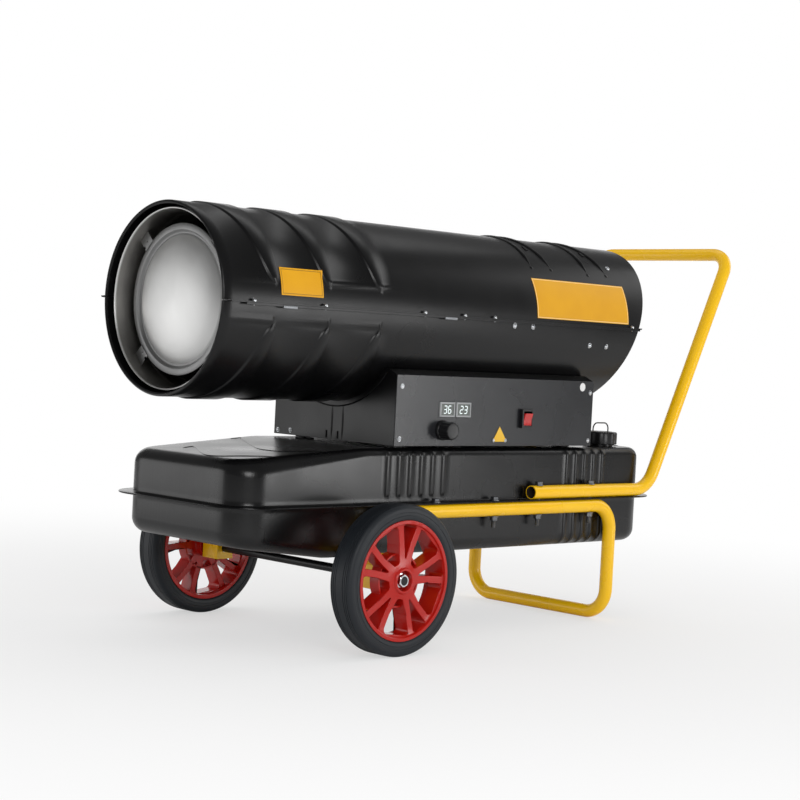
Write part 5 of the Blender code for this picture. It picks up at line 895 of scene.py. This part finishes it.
# Blank sign plate and sticker on the panel: a triangle of coated tin held by two screws, and a round
# vinyl dot with a dark ring, stuck on.
SIGN_CORNERS = ((0.323, 0.344), (0.361, 0.344), (0.3405, 0.3715))
SIGN_SCREWS = ((0.3255, 0.3462), (0.3572, 0.3462))
SIGN_SCREW_SCALE, SIGN_SHEET = (0.75, 0.75, 0.75), 0.0011
STICKER_PLACE, STICKER_RADIUS, STICKER_RING, STICKER_SHEET = (0.5676, 0.4474), 0.0095, 0.0016, 0.0002
# Yellow-coated tin plate: satin, its coat slightly uneven every 1.2 mm or so.
yellow_tin = grained("yellow_coated_tin", ("#e8b21e", "#f3c334"), (0.32, 0.4), 800, 0.00002)
# White vinyl foil: smooth and half matt, so it shows as one even tone.
white_vinyl = grained("white_vinyl", ("#dcdcdb", "#ebebea"), (0.36, 0.44), 600, 0.00001)
sign = added("blank_sign_plate", bpy.ops.mesh.primitive_cylinder_add, vertices=3, radius=0.02, depth=0.001)
corners = sorted(sign.data.vertices, key=lambda corner: (atan2(corner.co.y, corner.co.x), corner.co.z))
for i, corner in enumerate(corners):
    x, z = SIGN_CORNERS[i // 2]
    corner.co = at(x, PANEL_Y - (SIGN_SHEET if i % 2 else 0.0), z)
edit(sign, face_out, lambda: bpy.ops.mesh.bevel(offset=0.0022, segments=4, affect="VERTICES"))
settle(sign, yellow_tin)
for i, (x, z) in enumerate(SIGN_SCREWS):
    fasten(screw, "sign_screw_%d" % (i + 1), at(x, PANEL_Y - 0.001, z), (0, -1, 0), i, SIGN_SCREW_SCALE)
spot = at(STICKER_PLACE[0], PANEL_Y, STICKER_PLACE[1])
inner, sheet = STICKER_RADIUS - STICKER_RING, STICKER_SHEET
ring = turned("sticker_ring", ((0.0, STICKER_RADIUS), (sheet, STICKER_RADIUS), (sheet, inner), (0.0, inner)), spot,
              (0, -1, 0), is_closed=True)
settle(ring, black_abs)
dot = turned("sticker_dot", ((0.0, inner), (sheet, inner), (0.00025, 0.0)), spot, (0, -1, 0))
settle(dot, white_vinyl)

# Handle and stand: 25 mm steel tube with a 1.5 mm wall, cold bent and coated in glossy yellow powder;
# the handle lies on the tank's flange and the stand hangs under it, bolted through at both sides.
TUBE_RADIUS, TUBE_WALL, TUBE_Y, HANDLE_Z, STAND_Z, WHEEL_AXIS_Z = 0.0125, 0.0015, 0.1735, 0.2518, 0.2238, 0.125
HANDLE_RISE, STAND_REAR = 0.477, 0.652
HANDLE_CORNERS = ((0.4195, -1, HANDLE_Z), (0.762, -1, HANDLE_Z), (0.995, -1, HANDLE_Z + HANDLE_RISE))
HANDLE_BENDS = (0.06, 0.042, 0.042, 0.06)
STAND_CORNERS = ((0.0, -1, 0.1345), (0.0, -1, STAND_Z), (STAND_REAR, -1, STAND_Z), (STAND_REAR, -1, TUBE_RADIUS))
STAND_BENDS = (0.06, 0.048, 0.048, 0.048, 0.048, 0.06)
BEND_STEPS = 14

# Yellow powder coat: glossy and deep, with a long soft orange peel of about 2.5 mm.
yellow_coat = grained("yellow_powder_coat", ("#fcc004", "#fecb0a"), (0.22, 0.3), 400, 0.00006, IOR=1.5)

# Inside the tube the coat doesn't reach: welded strip steel with its brown mill scale and a film of rust,
# kept near black as painted shade in the bore.
bore_painted_shade = grained("mill_scale_and_painted_shade_in_tube", ("#1d1714", "#37291f"), (0.6, 0.8), 500, 0.00005, drift=60)


def bend(corners, radii):
    """The middle line of a tube through its corners, each rounded to its own radius."""
    line = [corners[0]]
    for before, corner, after, radius in zip(corners, corners[1:], corners[2:], radii):
        back, ahead = (before - corner).normalized(), (after - corner).normalized()
        half = back.angle(ahead) / 2
        centre = corner + (back + ahead).normalized() * radius / sin(half)
        first, last = (corner + way * radius / tan(half) - centre for way in (back, ahead))
        whole = first.angle(last)
        for i in range(BEND_STEPS + 1):
            share = i / BEND_STEPS
            spoke = (first * sin((1 - share) * whole) + last * sin(share * whole)) / sin(whole)
            line.append(centre + spoke)
    return line + [corners[-1]]


def line_bore(tube, line, material):
    """Give the wall faces that look at the tube's middle line a finish of their own."""
    tube.data.materials.append(material)
    for face in tube.data.polygons:
        nearest = None
        for start, end in zip(line, line[1:]):
            run = end - start
            share = max(0.0, min(1.0, (face.center - start).dot(run) / run.length_squared))
            inward = start + run * share - face.center
            if nearest is None or inward.length < nearest.length:
                nearest = inward
        if nearest.dot(face.normal) > 0:
            face.material_index = 1


for name, node, corners, radii in (("push_handle", "handle_tube", HANDLE_CORNERS, HANDLE_BENDS),
                                   ("ground_stand", "stand_tube", STAND_CORNERS, STAND_BENDS)):
    near = [at(x, side * TUBE_Y, z) for x, side, z in corners]
    far = [Vector((p.x, -p.y, p.z)) for p in near[::-1]]
    line = bend(near + far, radii)
    tube = round_bar(name, line, TUBE_RADIUS, sides=14, wall=TUBE_WALL)
    settle(tube, yellow_coat, stands_for=(node,))
    line_bore(tube, line, bore_painted_shade)

# Frame bolts: M8 hexagon bolts with washers and nuts of zinc-plated steel, dulled outdoors; they clamp the
# tubes to the tank's flange, and their threads stand out below.
BOLT_XS = (0.171, 0.322, 0.4405, 0.588)
LOW_SEAT, HIGH_SEAT, TUBE_UNDERSIDE = FLANGE_Z + 0.0015, HANDLE_Z + TUBE_RADIUS, 0.2113
SHANK_RADIUS, HEAD_RADIUS, HEAD_HEIGHT, NUT_HEIGHT, BOLT_TAIL = 0.004, 0.0075, 0.0053, 0.0065, 0.021
WASHER_RADIUS, WASHER_SHEET, THREAD_PITCH, THREAD_DEPTH = 0.0085, 0.0016, 0.00125, 0.0005
HEX_CHAMFER, HEX_EDGE, CORNER_SHARE, FLATS_TURN = 0.0008, 0.0003, 1.02, radians(9)


def hexagon(name, low, high, radius, chamfer):
    """A hexagon head or nut between two places along X, its corners turned off to a chamfer."""
    piece = added(name, bpy.ops.mesh.primitive_cylinder_add, vertices=6, radius=radius, depth=high - low)
    piece.matrix_world = Matrix.Translation(((low + high) / 2, 0, 0)) @ Matrix.Rotation(pi / 2, 4, "Y")
    modify(piece, "BEVEL", width=HEX_EDGE, segments=1)
    flat = radius * cos(pi / 6)
    corner = radius * CORNER_SHARE
    hull = turned("chamfer", ((low - 0.0001, 0.0), (low - 0.0001, flat), (low + chamfer, corner),
                              (high - chamfer, corner), (high + 0.0001, flat), (high + 0.0001, 0.0)), steps=48)
    modify(piece, "BOOLEAN", object=hull, operation="INTERSECT", solver="EXACT")
    bpy.data.objects.remove(hull)
    return piece


def frame_bolt(name, length):
    """A bolt with its head above 0, its nut under the clamped length and its thread below."""
    under = -length - WASHER_SHEET
    washer = ((0.0, SHANK_RADIUS), (0.0, WASHER_RADIUS), (WASHER_SHEET * 0.8, WASHER_RADIUS),
              (WASHER_SHEET, WASHER_RADIUS - 0.0004), (WASHER_SHEET, SHANK_RADIUS))
    shank = [(WASHER_SHEET, 0.0), (WASHER_SHEET, SHANK_RADIUS), (under - NUT_HEIGHT, SHANK_RADIUS)]
    place = under - NUT_HEIGHT
    while place > -length - BOLT_TAIL + THREAD_PITCH:
        shank += [(place - THREAD_PITCH / 2, SHANK_RADIUS - THREAD_DEPTH), (place - THREAD_PITCH, SHANK_RADIUS)]
        place -= THREAD_PITCH
    shank += [(-length - BOLT_TAIL, SHANK_RADIUS - 0.001), (-length - BOLT_TAIL, 0.0)]
    return join([hexagon(name, WASHER_SHEET, WASHER_SHEET + HEAD_HEIGHT, HEAD_RADIUS, HEX_CHAMFER),
                 hexagon("nut", under - NUT_HEIGHT, under, HEAD_RADIUS, HEX_CHAMFER),
                 turned("shank", shank, steps=32),
                 turned("washer", washer, steps=48, is_closed=True),
                 turned("washer", washer, (under, 0, 0), steps=48, is_closed=True)])


for i, x in enumerate(BOLT_XS):
    seat = LOW_SEAT if x < HANDLE_CORNERS[0][0] else HIGH_SEAT
    bolt = frame_bolt("bolt", seat - TUBE_UNDERSIDE)
    keep_place(bolt)
    for number, side in enumerate((-1, 1), 2 * i + 1):
        node = "frame_bolt_%d" % number
        piece = set_down(another(bolt, node + "_turned"), at(x, side * TUBE_Y, seat), (0, 0, 1), FLATS_TURN + number)
        settle(piece, dull_zinc, stands_for=(node,), smooth=28)
    bpy.data.objects.remove(bolt)

# Axle, its channel brackets and flange nuts: a drawn bar, coated black, in folded yellow channels that
# are welded under the stand, with chromed flange nuts pressed on outside the wheels.
AXLE_RADIUS, AXLE_REACH, NUT_SEAT = 0.0075, 0.2796, 0.2689
NUT_FLANGE_RADIUS, NUT_FLANGE, NUT_RADIUS, NUT_LENGTH, EDGE = 0.014, 0.002, 0.011, 0.008, 0.0008
AXLE_NUT_CHAMFER, AXLE_NUT_TURN = 0.0012, 0.4
# Bright chrome plate over turned steel: it mirrors the studio in small hard highlights.
chrome = grained("bright_chrome_plate", ("#d8dadd", "#e9eaec"), (0.06, 0.12), 700, 0.000005, Metallic=1.0)
axle = turned("axle_bar", ((-AXLE_REACH, 0.0), (-AXLE_REACH, AXLE_RADIUS - EDGE), (EDGE - AXLE_REACH, AXLE_RADIUS),
                           (AXLE_REACH - EDGE, AXLE_RADIUS), (AXLE_REACH, AXLE_RADIUS - EDGE), (AXLE_REACH, 0.0)),
              at(0, 0, WHEEL_AXIS_Z), (0, 1, 0), steps=48)
settle(axle, black_coat, stands_for=("axle",))
for word, side in SIDES:
    soften("axle_bracket_" + word, 0.0007, yellow_coat)
    flange = turned("flange", ((0.0, AXLE_RADIUS), (0.0, NUT_FLANGE_RADIUS - 0.0004), (0.0004, NUT_FLANGE_RADIUS),
                               (NUT_FLANGE * 0.7, NUT_FLANGE_RADIUS), (NUT_FLANGE, NUT_FLANGE_RADIUS - 0.0008),
                               (NUT_FLANGE + 0.0006, NUT_RADIUS), (NUT_FLANGE + 0.0006, AXLE_RADIUS)), is_closed=True)
    nut = hexagon("axle_nut_" + word + "_turned", NUT_FLANGE, NUT_FLANGE + NUT_LENGTH, NUT_RADIUS,
                  AXLE_NUT_CHAMFER)
    cut(nut, turned("bore", ((-0.01, 0.0), (-0.01, AXLE_RADIUS), (0.03, AXLE_RADIUS), (0.03, 0.0))))
    nut = join([nut, flange])
    keep_place(nut)
    nut = set_down(nut, at(0, side * NUT_SEAT, WHEEL_AXIS_Z), (0, side, 0), AXLE_NUT_TURN)
    settle(nut, chrome, stands_for=("axle_nut_" + word,), smooth=28)

# Wheels: red polypropylene rims, moulded with five deep twin spokes and a ring round the hub, under
# solid rubber tyres with a stepped sidewall and fine grooves along both sides of the tread.
WHEEL_Y = 0.2569
RIM_PROFILE = (
    (-0.0235, 0.0924), (-0.0235, 0.099), (-0.0231, 0.0994), (0.0231, 0.0994), (0.0235, 0.099), (0.0235, 0.0945),
    (0.0228, 0.0935), (0.02, 0.0926), (0.0188, 0.0905), (0.0182, 0.08), (0.0176, 0.06), (0.018, 0.04),
    (0.019, 0.028), (0.0205, 0.0222), (0.0228, 0.0206), (0.0235, 0.0196), (0.0235, 0.0174), (0.0229, 0.0165),
    (0.0115, 0.0165), (0.0115, 0.008), (-0.0235, 0.008), (-0.0235, 0.0204), (-0.0125, 0.0215), (-0.0125, 0.0915))
RIM_REACH = 0.0994
SPOKE_TURN, CUTTER_HALF_DEPTH, CORNER_LIMIT, RIM_EDGE = 83, 0.03, 0.8, 0.001
WINDOWS = ((0, 0.0045, ((0.37, 1.9), (0.62, 6.5), (0.94, 9.9))),
           (36, 0.0075, ((0.31, 11.0), (0.6, 18.8), (0.94, 19.0))))
HUB_RING = ((0.0085, 0.0455), (-0.0125, 0.0455), (-0.0125, 0.0425), (0.0085, 0.0425))
TYRE_HALF = (
    (0.0222, 0.0997), (0.0232, 0.1008), (0.0241, 0.1035), (0.0244, 0.107), (0.0237, 0.1076), (0.0237, 0.1122),
    (0.0244, 0.113), (0.0243, 0.117), (0.0237, 0.12), (0.0222, 0.1226), (0.0202, 0.1242), (0.0184, 0.1249),
    (0.0178, 0.1249), (0.0174, 0.1238), (0.0166, 0.1238), (0.0162, 0.125), (0.0136, 0.125), (0.0132, 0.1238),
    (0.0124, 0.1238), (0.012, 0.125), (0.0094, 0.125), (0.009, 0.1239), (0.0082, 0.1239), (0.0078, 0.125))
# Red polypropylene: dyed through, glossy from its mould, with light sinking in a little.
red_plastic = grained("moulded_red_polypropylene", ("#a8130c", "#bb1c10"), (0.18, 0.26), 700, 0.00002,
                      Specular_IOR_Level=0.4, Subsurface_Weight=0.04)
# Vulcanised rubber: blue-black, matt with a faint bloom, and a moulding grain of about a millimetre.
tyre_rubber = grained("solid_rubber_tyre", ("#12161b", "#1c2127"), (0.42, 0.56), 900, 0.00006,
                      Specular_IOR_Level=0.4)


def window_cutter(turn, corner, half_outline):
    """A prism along X through the rim: a window between two spokes, its corners rounded for the mould."""
    outline = [(share, -half) for share, half in half_outline] + [(share, half) for share, half in half_outline[::-1]]
    points = []
    for share, half in outline:
        angle = radians(turn + half)
        points.append(Vector((0, cos(angle), sin(angle))) * RIM_REACH * share)
    start = (points[0] + points[-1]) / 2
    radii = [min(corner, CORNER_LIMIT * RIM_REACH * share * sin(radians(half))) for share, half in half_outline]
    line = bend([start] + points + [start], radii + radii[::-1])[1:-1]
    cutter = added("window", bpy.ops.mesh.primitive_circle_add, vertices=len(line), fill_type="NGON")
    cutter.data.vertices.foreach_set("co", [v for p in line for v in (-CUTTER_HALF_DEPTH, p.y, p.z)])
    edit(cutter, lambda: bpy.ops.mesh.extrude_region_move(
        TRANSFORM_OT_translate={"value": (2 * CUTTER_HALF_DEPTH, 0, 0)}), face_out)
    return cutter


rim = turned("rim", RIM_PROFILE, steps=120, is_closed=True)
for i in range(5):
    cut(rim, *(window_cutter(SPOKE_TURN + 72 * i + turn, corner, outline) for turn, corner, outline in WINDOWS))
modify(rim, "BEVEL", width=RIM_EDGE, segments=3, limit_method="ANGLE", angle_limit=radians(55),
       use_clamp_overlap=False)
for word, side in SIDES:
    centre = at(0, side * WHEEL_Y, WHEEL_AXIS_Z)
    copy = another(rim, "rim_%s_moulded" % word)
    copy.matrix_world = Matrix.Translation(centre) @ Matrix(((0, -side, 0), (side, 0, 0), (0, 0, 1))).to_4x4()
    settle(copy, red_plastic, "wheel_" + word, ("rim_" + word,), is_bevelled=True)
    ring = turned("hub_ring_" + word, HUB_RING, centre, (0, side, 0), is_closed=True)
    settle(ring, red_plastic, "wheel_" + word)
    profile = [(-along, radius) for along, radius in TYRE_HALF] + list(TYRE_HALF)[::-1]
    tyre = turned("tyre_%s_moulded" % word, profile, centre, (0, side, 0), steps=144, is_closed=True)
    settle(tyre, tyre_rubber, "wheel_" + word, ("tyre_" + word,), smooth=28)
bpy.data.objects.remove(rim)

# Fuel filler: a turned steel neck with a flange, welded into the tank and coated black, under a moulded
# black cap with eight grip lobes and a wire bail.
FILLER_PLACE = (FILLER_X, FILLER_Y, TANK_TOP)
NECK_PROFILE = (
    (-0.03, 0.0235), (-0.03, 0.025), (0.0155, 0.025), (0.016, 0.0256), (0.016, 0.0286), (0.0164, 0.029),
    (0.0176, 0.029), (0.018, 0.0286), (0.018, 0.0239), (0.0176, 0.0235))
CAP_RADIUS, CAP_LOBES, CAP_LOBE_DEPTH = 0.033, 8, 0.0022
CAP_LEVELS = (
    (0.0219, 0.0, 0), (0.0219, 0.846, 0), (0.0046, 0.848, 0), (0.004, 0.87, 0), (0.004, 0.9, 0),
    (0.004, 0.975, 1), (0.0046, 0.995, 1), (0.0052, 1.0, 1), (0.0245, 1.0, 1), (0.0265, 0.98, 1),
    (0.0276, 0.945, 1), (0.028, 0.9, 0.8), (0.028, 0.74, 0), (0.0272, 0.72, 0), (0.0272, 0.4, 0),
    (0.028, 0.38, 0), (0.028, 0.0, 0))
BAIL_HALF, BAIL_FOOT, BAIL_TOP, BAIL_CORNER, WIRE_RADIUS = 0.023, 0.0262, 0.0448, 0.012, 0.0013
neck = turned("filler_neck_turned", NECK_PROFILE, at(*FILLER_PLACE), (0, 0, 1), is_closed=True)
settle(neck, black_coat, stands_for=("filler_neck",))
cap = fluted("filler_cap_moulded", CAP_LEVELS, CAP_RADIUS, CAP_LOBE_DEPTH, CAP_LOBES, at(*FILLER_PLACE), (0, 0, 1))
settle(cap, black_abs, "fuel_cap", ("filler_cap",), smooth=30)
corners = [at(*FILLER_PLACE) + Vector((x, 0, z)) for x, z in ((-BAIL_HALF, BAIL_FOOT), (-BAIL_HALF, BAIL_TOP),
                                                              (BAIL_HALF, BAIL_TOP), (BAIL_HALF, BAIL_FOOT))]
bail = round_bar("cap_bail_wire", bend(corners, (BAIL_CORNER, BAIL_CORNER)), WIRE_RADIUS, sides=5)
settle(bail, black_coat, "fuel_cap", ("cap_bail",))

# Parts inside the drum, the housing and the tank, and under it: pressed, cast, turned and moulded ones,
# each in its own finish with its edges broken.
# Turned brass: warm yellow, its shine softened by fine turning marks.
brass = grained("turned_brass", ("#b08a3e", "#c9a252"), (0.22, 0.32), 900, 0.00001, Metallic=1.0)
# Die-cast aluminium: light grey and matt, with the die's grain of about 1.2 mm.
cast_alloy = grained("die_cast_aluminium", ("#8f9193", "#a9abad"), (0.42, 0.55), 800, 0.00008, Metallic=1.0)
# Glazed ceramic: cream white under a clear glaze with sharp highlights.
ceramic = grained("glazed_ceramic", ("#d9d3c4", "#e6e1d4"), (0.12, 0.2), 300, 0.00001, Coat_Weight=0.3)
# Lacquered circuit board: green laminate under a clear, slightly uneven lacquer.
laminate = grained("lacquered_board", ("#14502c", "#1b6238"), (0.25, 0.35), 1200, 0.00003, Coat_Weight=0.4)
# Nitrile rubber: dull black, with hardly a highlight.
nitrile = grained("nitrile_rubber", ("#141414", "#1d1d1d"), (0.55, 0.7), 900, 0.00003)
# Extruded hose rubber: black with a soft shine along its length.
hose_rubber = grained("fuel_hose_rubber", ("#18181a", "#232326"), (0.45, 0.6), 1100, 0.00004)
INNER = (
    (black_coat, "black_paint", "chassis", (("rear_guard", 0.0004),)),
    (chamber_sheet_painted_light, "zinc", "chassis", (("chamber_spacer_front", 0.0003), ("chamber_spacer_rear", 0.0003))),
    (zinc, "zinc", "chassis", (
        ("burner_head", 0.0004), ("air_pump_cover", 0.0005), ("motor_bracket", 0.0003), ("thermostat", 0.0004),
        ("filler_strainer", 0.0001), ("drain_plug", 0.0005), ("fuel_pickup", 0.0003))),
    (brass, "brass", "chassis", (("fuel_nozzle", 0.0003),)),
    (ceramic, "ceramic", "chassis", (("spark_electrode", 0.0002), ("flame_sensor", 0.0002))),
    (ceramic, "ceramic", "fan_rotor", (("pump_rotor", 0.0002),)),
    (cast_alloy, "alloy", "fan_rotor", (("fan", 0.0003),)),
    (cast_alloy, "alloy", "chassis", (("fan_motor", 0.0009), ("air_pump_body", 0.0006))),
    (chrome, "chrome", "fan_rotor", (("motor_shaft", 0.0003),)),
    (laminate, "circuit", "chassis", (("control_board", 0.0001),)),
    (black_abs, "black_plastic", "chassis", (("ignition_transformer", 0.0008), ("cable_gland", 0.0004))),
    (nitrile, "soft_rubber", "cap_seal", (("cap_gasket", 0.0003),)),
    (hose_rubber, "fuel_line", "chassis", (("fuel_hose", 0.0002), ("air_hose", 0.0002))))
for material, slot, body, nodes in INNER:
    for node, width in nodes:
        soften(node, width, material, body)
bpy.data.objects.remove(screw)
